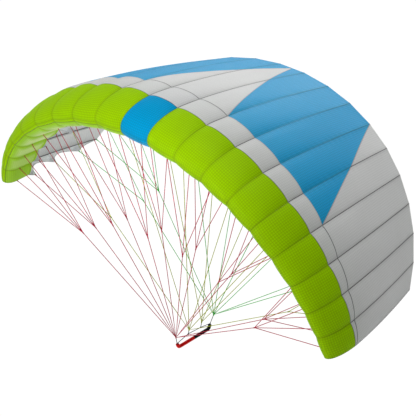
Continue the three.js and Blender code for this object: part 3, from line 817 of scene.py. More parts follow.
def build_gore(cell, material, nose_colour):
    first, second = cell_ribs(cell)
    width = np.linalg.norm(RIBS[second].nose - RIBS[first].nose)
    share = evenly(GORE_COLUMNS, width, GORE_EDGE[1:])
    sides = RIBS[first], RIBS[second]
    ends = np.array([(rib.share, *seam_places(rib.share), rib.chord) for rib in sides])
    by_column = ends[0] + (ends[1] - ends[0]) * share[:, None]
    chord = by_column[:, 3]
    turn = np.stack([gore_turns(*column) for column in by_column], axis=1)
    cell_face = cell_points(first, second, turn)
    points, outward = cell_face.points, cell_face.outward
    from_rib, sideways = cell_face.from_rib, cell_face.sideways
    t = section(by_column[:, 0], turn).t
    along = run_along(points)
    one_row = NOSE_ROWS + 2 * len(PANEL_EDGE) - 1
    two_row = one_row + STRIP_ROWS + 2 * len(PANEL_EDGE) - 1
    behind_one, behind_two = along - along[one_row], along - along[two_row]
    before_tail = along[-1] - along

    slanted, blue_side = diagonal(cell, cell_face.across)
    if slanted is None:
        inside_blue = np.full(t.shape, float(blue_side))
    else:
        slope = np.gradient(slanted * chord, axis=1) / np.gradient(sideways, axis=1)
        inside_blue = blue_side * (t - slanted) * chord / np.hypot(1, slope)

    near_left = sideways < 0
    rib_phase = np.where(near_left, first, second) * PUCKER_DRIFT["phase"]
    drift = PUCKER_DRIFT["depth"] * np.sin(PUCKER_DRIFT["rate"] * along + rib_phase)
    wave = np.sin(2 * math.pi * along / PUCKER["pitch"] + rib_phase + drift)
    pucker = pucker_height(wave, from_rib)
    pull = np.zeros_like(t)
    for rib, near in ((first, near_left), (second, ~near_left)):
        if abs(rib) in LOADED_RIBS:
            for row in "CD":
                reach = ((t - tab_place(row, rib)) / PULL["reach_t"]) ** 2 + (from_rib / PULL["reach"]) ** 2
                rise = from_rib / PULL["peak"]
                pull -= near * PULL["depth"] * rise * np.exp(-reach - rise)
    seams = ridge(from_rib) + ridge(behind_one) + ridge(behind_two)
    welt = WELT["height"] * (seams + ridge(before_tail, HEM_WIDTH))
    points = points + outward * (pucker + pull + welt)[..., None]

    values = {
        "behind_front": along,
        "behind_seam_1": behind_one,
        "behind_seam_2": behind_two,
        "inside_blue": inside_blue,
        "from_rib": from_rib,
    }
    cut = np.stack([sideways, along], axis=-1)
    name = "gore_sheet_" + side_name(cell)
    piece = new_object(name, sheet_mesh(name, points, GORE_CLOTH, values, cut))
    piece.data.materials.append(material)
    blue_cloth = (inside_blue > 0) & (behind_two > 0)
    dye = np.where((behind_one > 0)[..., None], GREY[:3], nose_colour[:3])
    dye = np.where(blue_cloth[..., None], BLUE[:3], dye)
    sew_sides(points, outward, dye)
    sew_row("panel_seam", row_at(along, NOSE_TAPE), points, outward, dye)
    for seam_row in (one_row, two_row):
        for row in (seam_row - PANEL_STITCH_ROW, seam_row + PANEL_STITCH_ROW):
            sew_row("panel_seam", row, points, outward, dye)
    sew_row("edge_hem", row_at(before_tail, HEM_WIDTH), points, outward, dye)
    node = "gore_" + side_name(cell)
    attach(piece, "root")
    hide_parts(node)
    width, length, area = cut_size(points)


CELLS = range(-CELLS_A_SIDE, CELLS_A_SIDE + 1)
green_nose = canopy_material("canopy_green_nose", GREEN)
blue_nose = canopy_material("canopy_blue_nose", NOSE_BLUE)
for cell in CELLS:
    if cell:
        build_gore(cell, green_nose, GREEN)
    else:
        build_gore(cell, blue_nose, NOSE_BLUE)

# Lower skins
# A short panel under each nose that turns it into a pocket, of the same cloth as the nose panel. It is sewn
# to the gore at the nose and to both ribs, and its rear edge is folded over and sewn, and left open.
UNDER_ROWS_CHIN, UNDER_ROWS_FLAT = 24, 26
UNDER_NODES = {
    0: "centre",
    1: "1", 2: "1",
    3: "2", 4: "2",
    5: "3", 6: "3",
    7: "4", 8: "4", 9: "4",
}
UNDER_GREEN = (0.45, 0.76, 0.0, 1)
# Painted sheen: the middle of each green lower skin is painted pale, as a glint of the white floor and
# surround on the swollen cloth.
UNDER_GREEN_SHEEN = (0.80, 0.93, 0.42, 1)
# Where the painted sheen gives way to the deep colour: near the ribs, the hem and the nose seam.
UNDER_SHEEN_EDGES = {"rib": (0.006, 0.08), "hem": (0.01, 0.05), "nose": (0.01, 0.09)}
# How much of the painted sheen is taken back on the cells towards the tips.
UNDER_TIP_LESS_SHEEN = {7: 0.25, 8: 0.55, 9: 0.95}
UNDER_LINE = {"rib": (0.0018, 0.0036), "nose": (0.003, 0.0055), "hem": (0.001, 0.0025)}
UNDER_HEM_SHOW = 0.6
# Dark lines on the seams and hem of the lower skins, partly the seams themselves and partly painted shadow in
# the creases between the pillows.
UNDER_SEAM_SHADOW = {"show": 0.45, "colour": (0.02, 0.03, 0.0, 1)}
UNDER_WEAVE_DEPTH = 0.15
UNDER_FLAT = 0.14
UNDER_PUCKER_PHASE = 2.3


def under_material(name, colour, pale):
    material, tree, output = new_material(name)
    rib = attribute(tree, "from_rib")
    nose = attribute(tree, "behind_nose")
    hem = attribute(tree, "before_hem")
    # Painted sheen: deep colour near the ribs, the hem and the nose seam and on the tip cells, pale in
    # between.
    edge = maths(tree, "MAXIMUM", fade(tree, rib, *UNDER_SHEEN_EDGES["rib"]), fade(tree, hem, *UNDER_SHEEN_EDGES["hem"]))
    edge = maths(tree, "MAXIMUM", edge, fade(tree, nose, *UNDER_SHEEN_EDGES["nose"]))
    shade = blend(tree, maths(tree, "MAXIMUM", edge, attribute(tree, "deeper")), pale, colour)
    line = maths(tree, "MAXIMUM", fade(tree, rib, *UNDER_LINE["rib"]), fade(tree, nose, *UNDER_LINE["nose"]))
    from_hem = maths(tree, "ABSOLUTE", maths(tree, "SUBTRACT", hem, HEM_WIDTH))
    hem_line = maths(tree, "MULTIPLY", fade(tree, from_hem, *UNDER_LINE["hem"]), UNDER_HEM_SHOW)
    line = maths(tree, "MAXIMUM", line, hem_line)
    # Seam colour deepened with painted shadow between the pillows.
    dark = blend(tree, UNDER_SEAM_SHADOW["show"], colour, UNDER_SEAM_SHADOW["colour"])
    finish_cloth(tree, output, blend(tree, line, shade, dark), UNDER_WEAVE_DEPTH, CLOTH_GLOSS)
    return material


def build_lower_skin(cell, material, colour):
    first, second = cell_ribs(cell)
    chord = (RIBS[first].chord + RIBS[second].chord) / 2
    chin = np.linspace(NOSE_SEAM_ANGLE + NOSE_SEAM_GAP, 90, UNDER_ROWS_CHIN)
    flat = 90 + 90 * evenly(UNDER_ROWS_FLAT, UNDER_FLAT * chord, PANEL_EDGE)[1:]
    columns = GORE_COLUMNS + 2 * (len(GORE_EDGE) - 1)
    turn = np.repeat(-np.concatenate([chin, flat])[:, None], columns, axis=1)
    cell_face = cell_points(first, second, turn)
    points, outward = cell_face.points, cell_face.outward
    from_rib, sideways = cell_face.from_rib, cell_face.sideways
    along = run_along(points)
    before_hem = along[-1] - along
    phase = np.where(sideways < 0, first, second) * UNDER_PUCKER_PHASE
    pucker = pucker_height(np.sin(2 * math.pi * along / PUCKER["pitch"] + phase), from_rib)
    welt = WELT["height"] * (ridge(from_rib) + ridge(before_hem, HEM_WIDTH))
    points = points + outward * (pucker + welt)[..., None]
    # The share of the painted sheen that is taken back on this cell.
    deeper = np.full_like(along, UNDER_TIP_LESS_SHEEN.get(abs(cell), 0.0))
    values = {"from_rib": from_rib, "behind_nose": along, "before_hem": before_hem, "deeper": deeper}
    cut = np.stack([sideways, along], axis=-1)
    name = "under_sheet_" + side_name(cell)
    turned = {key: value[:, ::-1] for key, value in values.items()}
    mesh = sheet_mesh(name, points[:, ::-1], GORE_CLOTH, turned, cut[:, ::-1])
    piece = new_object(name, mesh)
    piece.data.materials.append(material)
    dye = np.broadcast_to(colour[:3], points.shape)
    sew_sides(points, outward, dye)
    sew_row("edge_hem", row_at(before_hem, HEM_WIDTH), points, outward, dye)
    strip = UNDER_NODES[abs(cell)]
    if cell:
        strip = ("left_" if cell < 0 else "right_") + strip
    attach(piece, "root")
    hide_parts("lower_skin_" + strip)


under_green = under_material("under_green", UNDER_GREEN, UNDER_GREEN_SHEEN)
under_blue = under_material("under_blue", NOSE_BLUE, NOSE_BLUE)
for cell in CELLS:
    if cell:
        build_lower_skin(cell, under_green, UNDER_GREEN)
    else:
        build_lower_skin(cell, under_blue, NOSE_BLUE)

# Stitching
# Lock stitches along every seam and hem, of thread dyed a shade darker than the cloth it holds. They join
# the gores to the ribs and the panels to each other, and hold the folded edges down.
STITCH_SIZES = {"Pitch": 0.0085, "Length": 0.0056, "Width": 0.0011, "Height": 0.0009}
RIB_STITCH_SIZES = {"Pitch": 0.0105, "Height": 0.0031}
STITCH_LIFT = 0.2
THREAD_SHADE = 0.8
THREAD_FUZZ = {"Scale": 900.0, "Detail": 2.0}
THREAD_TONE = {"least": 0.75, "more": 0.5}


def thread_material():
    material, tree, output = new_material("stitch_thread")
    place = add(tree, "ShaderNodeTexCoord").outputs["Object"]
    fuzz = add(tree, "ShaderNodeTexNoise", inputs=dict(THREAD_FUZZ, Vector=place))
    uneven = maths(tree, "MULTIPLY_ADD", fuzz.outputs["Fac"], THREAD_TONE["more"], THREAD_TONE["least"])
    shade = maths(tree, "MULTIPLY", uneven, THREAD_SHADE)
    dye = add(tree, "ShaderNodeAttribute", {"attribute_name": "dye"}).outputs["Color"]
    colour = blend(tree, 1.0, dye, shade, "MULTIPLY")
    thread = add(tree, "ShaderNodeBsdfPrincipled", inputs={"Base Color": colour, "Roughness": 0.6})
    tree.links.new(thread.outputs[0], output.inputs["Surface"])
    return material


def end_tree(tree, geometry, material, output):
    """Ends a geometry tree with plain meshes in their material."""
    made = add(tree, "GeometryNodeRealizeInstances", inputs={"Geometry": geometry})
    dressed = add(tree, "GeometryNodeSetMaterial", inputs={"Geometry": made.outputs[0], "Material": material})
    result = tree.nodes.new("NodeGroupOutput")
    tree.links.new(dressed.outputs[0], result.inputs[output])


def stitch_tree():
    """Short stitches set along paths, each turned along its path and laid on the cloth under it."""
    tree = bpy.data.node_groups.new("stitch_rows", "GeometryNodeTree")
    tree.is_modifier = True
    add_socket(tree, "Paths", "Geometry")
    for name, size in STITCH_SIZES.items():
        add_socket(tree, name, "Float", size)
    add_socket(tree, "Thread", "Material")
    add_socket(tree, "Stitches", "Geometry", way="OUTPUT")
    given = tree.nodes.new("NodeGroupInput")
    curve = add(tree, "GeometryNodeMeshToCurve", inputs={"Mesh": given.outputs["Paths"]})
    rows = add(
        tree,
        "GeometryNodeResampleCurve",
        {"mode": "LENGTH"},
        {"Curve": curve.outputs[0], "Length": given.outputs["Pitch"]},
    )
    facing = add(tree, "GeometryNodeInputNamedAttribute", {"data_type": "FLOAT_VECTOR"}, {"Name": "facing"})
    tangent = add(tree, "GeometryNodeInputTangent")
    ahead = add(tree, "FunctionNodeAlignRotationToVector", {"axis": "X"}, {"Vector": tangent.outputs[0]})
    laid = add(
        tree,
        "FunctionNodeAlignRotationToVector",
        {"axis": "Z", "pivot_axis": "X"},
        {"Rotation": ahead.outputs[0], "Vector": facing.outputs["Attribute"]},
    )
    bead = add(tree, "GeometryNodeMeshUVSphere", inputs={"Segments": 4, "Rings": 3, "Radius": 0.5})
    upright = add(
        tree,
        "GeometryNodeTransform",
        inputs={"Geometry": bead.outputs["Mesh"], "Rotation": (0, math.pi / 2, 0)},
    )
    size = add(
        tree,
        "ShaderNodeCombineXYZ",
        inputs={0: given.outputs["Length"], 1: given.outputs["Width"], 2: given.outputs["Height"]},
    )
    placed = add(
        tree,
        "GeometryNodeInstanceOnPoints",
        inputs={
            "Points": rows.outputs[0],
            "Instance": upright.outputs[0],
            "Rotation": laid.outputs[0],
            "Scale": size.outputs[0],
        },
    )
    end_tree(tree, placed.outputs[0], given.outputs["Thread"], "Stitches")
    return tree


def grown_mesh(name, paths_mesh, tree, values):
    """The plain mesh that a geometry tree grows on a mesh of paths."""
    carrier = new_object(name + "_paths", paths_mesh)
    modifier = carrier.modifiers.new(name, "NODES")
    modifier.node_group = tree
    for socket in tree.interface.items_tree:
        if socket.in_out == "INPUT" and socket.name in values:
            modifier[socket.identifier] = values[socket.name]
    evaluated = carrier.evaluated_get(bpy.context.evaluated_depsgraph_get())
    mesh = bpy.data.meshes.new_from_object(evaluated)
    mesh.name = name
    carrier.modifiers.clear()
    bpy.data.objects.remove(carrier)
    return mesh


def paths_to_mesh(name, paths):
    """A mesh of open edges from lists of points, each path apart from the others."""
    mesh = bpy.data.meshes.new(name)
    points = np.concatenate(paths)
    edges, start = [], 0
    for path in paths:
        edges += [(start + i, start + i + 1) for i in range(len(path) - 1)]
        start += len(path)
    mesh.from_pydata(points.tolist(), edges, [])
    return mesh


def build_stitches(key, tree, thread):
    rows = STITCH_PATHS[key]
    lift = STITCH_SIZES["Height"] * STITCH_LIFT
    mesh = paths_to_mesh(key, [points + facing * lift for points, facing, _ in rows])
    for place, name in ((1, "facing"), (2, "dye")):
        vectors = np.concatenate([row[place] for row in rows]).astype(np.float32)
        mesh.attributes.new(name, "FLOAT_VECTOR", "POINT").data.foreach_set("vector", vectors.ravel())
    sizes = dict(STITCH_SIZES, Thread=thread)
    if key == "rib_hem":
        sizes.update(RIB_STITCH_SIZES)
    stitches = grown_mesh(key + "_stitches", mesh, tree, sizes)
    stitches.shade_smooth()
    piece = new_object(key + "_stitches", stitches)
    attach(piece, "root")


stitches_tree = stitch_tree()
thread = thread_material()
for key in STITCH_PATHS:
    build_stitches(key, stitches_tree, thread)

# Bar
# A bent tube under soft foam, red in front and black behind, with both ends turned up. The cords come out of
# a hole in each end.
GRIP_LENGTH = 0.300
GRIP_LEAN = math.radians(3.5)
BAR_RADIUS = 0.012
BAR_BEND = 0.017
BAR_END_RISE, BAR_END_REACH = 0.031, 0.013
BAR_SIDES = 32
BAR_STEPS = {"grip": 40, "bend": 14, "rise": 10, "round": 6}
BAR_ROUND = 0.0025
FOAM_GAP = 0.0002
FOAM_FACE = ((0.0, 0.0008), (0.0, BAR_RADIUS - 0.0006), (0.0003, BAR_RADIUS - 0.0002), (0.0008, BAR_RADIUS))
CORD_HOLE = 0.0052
CORD_HOLE_DEPTH = 0.006
CORD_HOLE_FLOOR = (0.96 * CORD_HOLE, 0.0005)
CORD_BESIDE = 0.0024
FOAM_RED = (0.66, 0.0, 0.0, 1)
FOAM_BLACK = (0.003, 0.003, 0.0033, 1)
FOAM_PORES = 900.0
FOAM_BUMP = {"Strength": 0.4, "Distance": 0.0004}
FOAM_WORN = {"Scale": 38.0, "Detail": 4.0}
FOAM_TONE = {"least": 0.82, "more": 0.36}
FOAM_ROUGH = {"least": 0.55, "more": 0.2}
FOAM_RUBBED = {"show": 0.01, "colour": (0.5, 0.5, 0.5, 1)}


def unit(vector):
    return vector / np.linalg.norm(vector)


def on_bar(along, above):
    """A point of the bar, from its distances along the grip and above it."""
    y = along * math.cos(GRIP_LEAN) + above * math.sin(GRIP_LEAN)
    z = -along * math.sin(GRIP_LEAN) + above * math.cos(GRIP_LEAN)
    return np.array([0.0, y, z])


def bar_route(side):
    """The middle line of half the bar, from the middle of the grip to its turned-up end."""
    corner = on_bar(side * GRIP_LENGTH / 2, 0)
    end = on_bar(side * (GRIP_LENGTH / 2 + BAR_END_REACH), BAR_END_RISE)
    before = on_bar(side * (GRIP_LENGTH / 2 - BAR_BEND), 0)
    after = corner + unit(end - corner) * BAR_BEND
    start = on_bar(side * FOAM_GAP / 2, 0)
    grip = start + (before - start) * np.linspace(0, 1, BAR_STEPS["grip"])[:, None]
    s = np.linspace(0, 1, BAR_STEPS["bend"])[1:, None]
    bend = before * (1 - s) ** 2 + corner * 2 * s * (1 - s) + after * s**2
    rise = after + (end - after) * np.linspace(0, 1, BAR_STEPS["rise"])[1:, None]
    return np.concatenate([grip, bend, rise])


def bar_rings(side):
    """Centres, directions and radii of the rings of half the bar, rounded, with a bore in the outer end."""
    route = bar_route(side)
    ahead = np.gradient(route, axis=0)
    ahead /= np.linalg.norm(ahead, axis=1, keepdims=True)
    length = np.concatenate([[0], np.cumsum(np.linalg.norm(np.diff(route, axis=0), axis=1))])
    turn = np.radians(np.linspace(0, 90, BAR_STEPS["round"]))
    middle = length[(length > BAR_ROUND) & (length < length[-1] - BAR_ROUND)]
    places = [*FOAM_FACE, *((s, BAR_RADIUS) for s in middle)]
    for a in turn:
        back, inward = BAR_ROUND * (1 - math.sin(a)), BAR_ROUND * (1 - math.cos(a))
        places.append((length[-1] - back, BAR_RADIUS - inward))
    places.append((length[-1], CORD_HOLE))
    places += [(length[-1] - CORD_HOLE_DEPTH, radius) for radius in CORD_HOLE_FLOOR]
    along = np.array([s for s, _ in places])
    centres = np.stack([np.interp(along, length, route[:, k]) for k in range(3)], axis=1)
    directions = np.stack([np.interp(along, length, ahead[:, k]) for k in range(3)], axis=1)
    return centres, directions, np.array([r for _, r in places])


def over_bar_end(side, across, height):
    """A point over the end of the bar, where a cord comes out beside the other cord there."""
    end = on_bar(side * (GRIP_LENGTH / 2 + BAR_END_REACH), BAR_END_RISE)
    out = unit(end - on_bar(side * GRIP_LENGTH / 2, 0))
    return end + out * height + np.array([across, 0, 0])


def foam_material(name, colour):
    material, tree, output = new_material(name)
    place = add(tree, "ShaderNodeTexCoord").outputs["Object"]
    pores = add(tree, "ShaderNodeTexVoronoi", {"feature": "F1"}, {"Vector": place, "Scale": FOAM_PORES})
    worn = add(tree, "ShaderNodeTexNoise", inputs=dict(FOAM_WORN, Vector=place)).outputs["Fac"]
    shade = maths(tree, "MULTIPLY_ADD", worn, FOAM_TONE["more"], FOAM_TONE["least"])
    rubbed = blend(tree, maths(tree, "MULTIPLY", worn, FOAM_RUBBED["show"]), colour, FOAM_RUBBED["colour"])
    tinted = blend(tree, 1.0, rubbed, shade, "MULTIPLY")
    bump = add(tree, "ShaderNodeBump", inputs=dict(FOAM_BUMP, Height=pores.outputs["Distance"]))
    rough = maths(tree, "MULTIPLY_ADD", worn, FOAM_ROUGH["more"], FOAM_ROUGH["least"])
    foam = add(
        tree,
        "ShaderNodeBsdfPrincipled",
        inputs={
            "Base Color": tinted,
            "Roughness": rough,
            "Normal": bump.outputs[0],
            "Specular IOR Level": 0.12,
        },
    )
    tree.links.new(foam.outputs[0], output.inputs["Surface"])
    return material


def build_bar_half(name, side, colour, node, slot):
    centres, directions, radii = bar_rings(side)
    sideways = np.array([1.0, 0.0, 0.0])
    angle = 2 * math.pi * np.arange(BAR_SIDES) / BAR_SIDES
    rings = []
    for centre, direction, radius in zip(centres, directions, radii):
        upwards = unit(np.cross(sideways, direction))
        rings.append(centre + radius * (np.cos(angle)[:, None] * sideways + np.sin(angle)[:, None] * upwards))
    points = np.concatenate(rings)
    faces = []
    for ring in range(len(rings) - 1):
        for k in range(BAR_SIDES):
            a, b = ring * BAR_SIDES + k, ring * BAR_SIDES + (k + 1) % BAR_SIDES
            faces.append((a, b, b + BAR_SIDES, a + BAR_SIDES))
    last = (len(rings) - 1) * BAR_SIDES
    faces.append(tuple(range(BAR_SIDES))[::-1])
    faces.append(tuple(last + k for k in range(BAR_SIDES)))
    mesh = bpy.data.meshes.new(name)
    mesh.from_pydata(points.tolist(), [], faces)
    mesh.shade_smooth()
    mesh.materials.append(foam_material(slot + "_foam", colour))
    piece = new_object(name, mesh)
    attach(piece, "root")
    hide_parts(node)


build_bar_half("bar_grip_front", -1, FOAM_RED, "bar_front", "red_grip")
build_bar_half("bar_grip_rear", 1, FOAM_BLACK, "bar_rear", "black_grip")

# Line sets
# Thin braided lines, taut between the ribs and one collecting knot above the bar: the red front set, two
# olive middle sets and the green rear set. Each end is a wrapped loop, and upper lines meet in wrapped knots.
MAIN_RADIUS = 0.0023
UPPER_RADIUS = 0.0022
GATHERED = {"radius": 0.0012, "reach": 0.15}
WRAP_RADIUS = 0.0008
KNOT_WRAP = WRAP_RADIUS * 1.4
COLLECTOR_WRAP = WRAP_RADIUS * 1.6
LINE_SIDES = 8
LINE_END_GAP = 0.0006
LINE_SHORT = 0.004
KNOT = {"radius": 0.0030, "length": 0.016, "turns": 6}
COLLECTOR = {"radius": 0.0036, "length": 0.014, "turns": 6}
END_WRAP = {"radius": 0.0024, "length": 0.009, "turns": 4}
END_WRAP_BELOW = 0.009
END_LOOP = {"half_length": 0.0065, "half_width": 0.0030, "lift": 0.002}
LOOP_STEPS = 17
STEPS_A_TURN = 9
LINE_LAY = 0.006
BRAID_SLANT = 2.0
BRAID_TONE = {"least": 0.7, "more": 0.45}
BRAID_BUMP = {"Strength": 0.6, "Distance": 0.0003}
OLIVE_LINE = (0.36, 0.40, 0.01, 1)
GATHER = {
    "front": np.array([0, -0.170, 0.104]),
    "mid_front": np.array([0, -0.043, 0.095]),
    "mid_rear": np.array([0, 0.082, 0.090]),
    "rear": np.array([0, 0.204, 0.084]),
}
LINE_SETS = (
    {
        "place": "front",
        "slot": "red_line",
        "colour": (0.42, 0.008, 0.04, 1),
        "branches": (
            {"row": "A", "ribs": (1, 2, 3), "knot": 0.494},
            {"row": "A", "ribs": (4, 5, 6), "knot": 0.543},
            {"row": "A", "ribs": (7, 8, 9, 10), "knot": 0.598, "outer_pull": 1.5},
            {"row": "B", "ribs": (1, 2, 3), "knot": 0.494},
            {"row": "B", "ribs": (4, 5, 6), "knot": 0.543},
            {"row": "B", "ribs": (7, 8, 9, 10), "knot": 0.6, "outer_pull": 1.35},
        ),
    },
    {
        "place": "mid_front",
        "slot": "olive_line",
        "colour": OLIVE_LINE,
        "branches": (
            {"row": "C", "ribs": (2,), "knot": 0},
            {"row": "C", "ribs": (5,), "knot": 0},
            {"row": "C", "ribs": (8, 10), "knot": 0.612, "outer_pull": 1.16},
        ),
    },
    {
        "place": "mid_rear",
        "slot": "olive_line",
        "colour": OLIVE_LINE,
        "branches": (
            {"row": "D", "ribs": (2,), "knot": 0},
            {"row": "D", "ribs": (5,), "knot": 0},
        ),
    },
    {
        "place": "rear",
        "slot": "green_line",
        "colour": (0.03, 0.46, 0.03, 1),
        "branches": (
            {"row": "T", "ribs": (2,), "knot": 0},
            {"row": "T", "ribs": (5,), "knot": 0},
            {"row": "D", "ribs": (8, 10), "knot": 0.6, "outer_pull": 0.3},
            {"row": "T", "ribs": (7, 8, 9, 10), "knot": 0.593, "outer_pull": 0.5},
        ),
    },
)


def beside(axis):
    """Two directions square to an axis."""
    helper = np.array([0.0, 0.0, 1.0]) if abs(axis[2]) < 0.9 else np.array([1.0, 0.0, 0.0])
    one = unit(np.cross(axis, helper))
    return one, np.cross(axis, one)


def wrapping(centre, axis, radius, length, turns):
    """Thread wound round an axis, from one end of the wrapped stretch to the other."""
    one, two = beside(axis)
    turn = np.linspace(0, turns, turns * STEPS_A_TURN + 1)
    angle = 2 * math.pi * turn
    rise = (turn / turns - 0.5) * (length - 2 * WRAP_RADIUS)
    around = np.cos(angle)[:, None] * one + np.sin(angle)[:, None] * two
    return centre + around * radius + rise[:, None] * axis


def end_loop(end, axis, across):
    """The loop of a line's end, through the tab of a rib."""
    across = unit(across - axis * np.dot(across, axis))
    angle = np.linspace(0, 2 * math.pi, LOOP_STEPS)
    along = END_LOOP["lift"] + END_LOOP["half_length"] * np.cos(angle)
    return end + along[:, None] * axis + (END_LOOP["half_width"] * np.sin(angle))[:, None] * across


def line_end(row, rib):
    t = tab_place(row, rib)
    h = under_height(t) if row == "A" else -tab_depth(row, rib)
    return on_rib(rib, t, h) - RIBS[rib].up * LINE_END_GAP


def upper_line(start, end, rib, radius):
    """A taut line to a rib, with its end loop and the wrapping below it."""
    axis = unit(end - start)
    return [
        (np.stack([start, end - axis * LINE_SHORT]), radius),
        (end_loop(end, axis, RIBS[rib].across), UPPER_RADIUS),
        (wrapping(end - axis * END_WRAP_BELOW, axis, **END_WRAP), WRAP_RADIUS),
    ]


def branch_paths(gather, row, ribs, knot, outer_pull=1):
    """The paths of one branch, from the collecting knot to its ribs, with their radii. The outermost line
    pulls the branch's knot more or less than the others."""
    ends = [line_end(row, rib) for rib in ribs]
    if len(ends) == 1:
        return upper_line(gather, ends[0], ribs[0], MAIN_RADIUS)
    pulls = [1] * (len(ends) - 1) + [outer_pull]
    meet = gather + (np.average(ends, axis=0, weights=pulls) - gather) * knot
    axis = unit(meet - gather)
    main = np.stack([gather, gather + axis * GATHERED["reach"], meet])
    paths = [
        (main, (GATHERED["radius"], MAIN_RADIUS, MAIN_RADIUS)),
        (wrapping(meet, axis, **KNOT), KNOT_WRAP),
    ]
    for rib, end in zip(ribs, ends):
        paths += upper_line(meet, end, rib, UPPER_RADIUS)
    return paths


def line_tree():
    """A braided line swept along each path, at the radius that the path carries."""
    tree = bpy.data.node_groups.new("braided_line", "GeometryNodeTree")
    tree.is_modifier = True
    add_socket(tree, "Paths", "Geometry")
    add_socket(tree, "Sides", "Int", LINE_SIDES)
    add_socket(tree, "Braid", "Material")
    add_socket(tree, "Line", "Geometry", way="OUTPUT")
    given = tree.nodes.new("NodeGroupInput")
    curve = add(tree, "GeometryNodeMeshToCurve", inputs={"Mesh": given.outputs["Paths"]})
    run = add(tree, "GeometryNodeSplineParameter")
    marked = add(
        tree,
        "GeometryNodeStoreNamedAttribute",
        {"data_type": "FLOAT", "domain": "POINT"},
        {"Geometry": curve.outputs[0], "Name": "along", "Value": run.outputs["Length"]},
    )
    sides = given.outputs["Sides"]
    ring = add(tree, "GeometryNodeCurvePrimitiveCircle", inputs={"Resolution": sides, "Radius": 1.0})
    turn = add(tree, "GeometryNodeSplineParameter")
    ring_marked = add(
        tree,
        "GeometryNodeStoreNamedAttribute",
        {"data_type": "FLOAT", "domain": "POINT"},
        {"Geometry": ring.outputs[0], "Name": "around", "Value": turn.outputs["Factor"]},
    )
    radius = add(tree, "GeometryNodeInputNamedAttribute", {"data_type": "FLOAT"}, {"Name": "line_radius"})
    swept = add(
        tree,
        "GeometryNodeCurveToMesh",
        inputs={
            "Curve": marked.outputs[0],
            "Profile Curve": ring_marked.outputs[0],
            "Scale": radius.outputs["Attribute"],
            "Fill Caps": True,
        },
    )
    end_tree(tree, swept.outputs[0], given.outputs["Braid"], "Line")
    return tree


def braid_group():
    """Two strands of a braid that cross at a slant, from the places along and around a line."""
    tree = bpy.data.node_groups.new("braid", "ShaderNodeTree")
    add_socket(tree, "Lay", "Float", LINE_LAY)
    add_socket(tree, "Strand", "Float", way="OUTPUT")
    given = tree.nodes.new("NodeGroupInput")
    along = maths(tree, "DIVIDE", attribute(tree, "along"), given.outputs["Lay"])
    around = maths(tree, "MULTIPLY", attribute(tree, "around"), BRAID_SLANT)
    crests = []
    for way in ("ADD", "SUBTRACT"):
        phase = maths(tree, "MULTIPLY", maths(tree, way, along, around), 2 * math.pi)
        crests.append(maths(tree, "SINE", phase))
    high = maths(tree, "MAXIMUM", *crests)
    given_out = tree.nodes.new("NodeGroupOutput")
    tree.links.new(maths(tree, "MULTIPLY_ADD", high, 0.5, 0.5), given_out.inputs["Strand"])
    return tree


BRAID = braid_group()


def braid_material(name, colour, lay):
    material, tree, output = new_material(name)
    strand = add(tree, "ShaderNodeGroup", {"node_tree": BRAID}, {"Lay": lay}).outputs["Strand"]
    shade = maths(tree, "MULTIPLY_ADD", strand, BRAID_TONE["more"], BRAID_TONE["least"])
    tinted = blend(tree, 1.0, colour, shade, "MULTIPLY")
    bump = add(tree, "ShaderNodeBump", inputs=dict(BRAID_BUMP, Height=strand))
    line = add(
        tree,
        "ShaderNodeBsdfPrincipled",
        inputs={
            "Base Color": tinted,
            "Roughness": 0.62,
            "Normal": bump.outputs[0],
            "Specular IOR Level": 0.3,
        },
    )
    tree.links.new(line.outputs[0], output.inputs["Surface"])
    return material


def build_lines(name, paths, tree, material, node):
    """One piece from paths with their radii, which stands for a CAD node."""
    mesh = paths_to_mesh(name, [points for points, _ in paths])
    radii = np.concatenate([np.broadcast_to(radius, len(points)) for points, radius in paths])
    mesh.attributes.new("line_radius", "FLOAT", "POINT").data.foreach_set("value", radii.astype(np.float32))
    swept = grown_mesh(name, mesh, tree, {"Sides": LINE_SIDES, "Braid": material})
    swept.shade_smooth()
    piece = new_object(name, swept)
    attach(piece, "root")
    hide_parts(node)


braid_sweep = line_tree()
LEG_START = {
    "front": over_bar_end(-1, -CORD_BESIDE, 0),
    "mid_front": np.array([0, -0.051, 0.066]),
    "mid_rear": np.array([0, 0.071, 0.050]),
    "rear": over_bar_end(1, -CORD_BESIDE, 0),
}
braids = {}
for line_set in LINE_SETS:
    place, slot = line_set["place"], line_set["slot"]
    if slot not in braids:
        braids[slot] = braid_material(slot + "_braid", line_set["colour"], LINE_LAY)
    gather = GATHER[place]
    leg_axis = unit(gather - LEG_START[place])
    paths = [(wrapping(gather, leg_axis, **COLLECTOR), COLLECTOR_WRAP)]
    for branch in line_set["branches"]:
        for side in (1, -1):
            ribs = [side * rib for rib in branch["ribs"]]
            paths += branch_paths(gather, **dict(branch, ribs=ribs))
    build_lines("line_set_" + place, paths, braid_sweep, braids[slot], "lines_" + place)

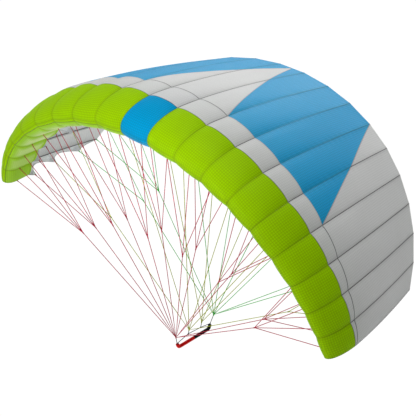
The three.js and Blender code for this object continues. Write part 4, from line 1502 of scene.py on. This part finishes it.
# Grey cords
# Braided cord from the bar to the lines. The bridle joins both ends of the bar and carries the legs of the
# middle sets on two knots. A leg to the front set and one to the rear set come out of the bar's ends.
CORD_RADIUS = 0.0023
CORD_TURN = 0.010
CORD_CORNER = 0.006
CORNER_STEPS = 7
CORD_IN_BAR = 0.8 * CORD_HOLE_DEPTH
CORD_SHORT = 0.002
CORD_LAY = 0.008
CORD_COLOUR = (0.07, 0.07, 0.08, 1)
CORD_KNOT = {"radius": 0.0026, "length": 0.014, "turns": 5}
CORD_KNOT_WRAP = WRAP_RADIUS * 1.5


def rounded(points, reach):
    """A path through points with its corners turned in short curves."""
    path = [points[0]]
    for before, corner, after in zip(points, points[1:], points[2:]):
        start = corner + unit(before - corner) * reach
        end = corner + unit(after - corner) * reach
        for s in np.linspace(0, 1, CORNER_STEPS):
            path.append(start * (1 - s) ** 2 + corner * 2 * s * (1 - s) + end * s**2)
    return np.array(path + [points[-1]])


def leg_path(place, start):
    gather = GATHER[place]
    return np.stack([start, gather + unit(start - gather) * CORD_SHORT])


cord_braid = braid_material("grey_cord_braid", CORD_COLOUR, CORD_LAY)
bridle_knots = [LEG_START["mid_front"], LEG_START["mid_rear"]]
bridle = [
    over_bar_end(-1, CORD_BESIDE, -CORD_IN_BAR),
    over_bar_end(-1, CORD_BESIDE, CORD_TURN),
    *bridle_knots,
    over_bar_end(1, CORD_BESIDE, CORD_TURN),
    over_bar_end(1, CORD_BESIDE, -CORD_IN_BAR),
]
cord_paths = [(rounded(bridle, CORD_CORNER), CORD_RADIUS)]
for place, start in zip(("mid_front", "mid_rear"), bridle_knots):
    cord_paths.append((leg_path(place, start), CORD_RADIUS))
    cord_paths.append((wrapping(start, unit(GATHER[place] - start), **CORD_KNOT), CORD_KNOT_WRAP))
build_lines("bridle_braid", cord_paths, braid_sweep, cord_braid, "bridle_cord")
for place, side in (("front", -1), ("rear", 1)):
    start = over_bar_end(side, -CORD_BESIDE, -CORD_IN_BAR)
    leg = [(leg_path(place, start), CORD_RADIUS)]
    build_lines(place + "_leg_braid", leg, braid_sweep, cord_braid, place + "_leg")
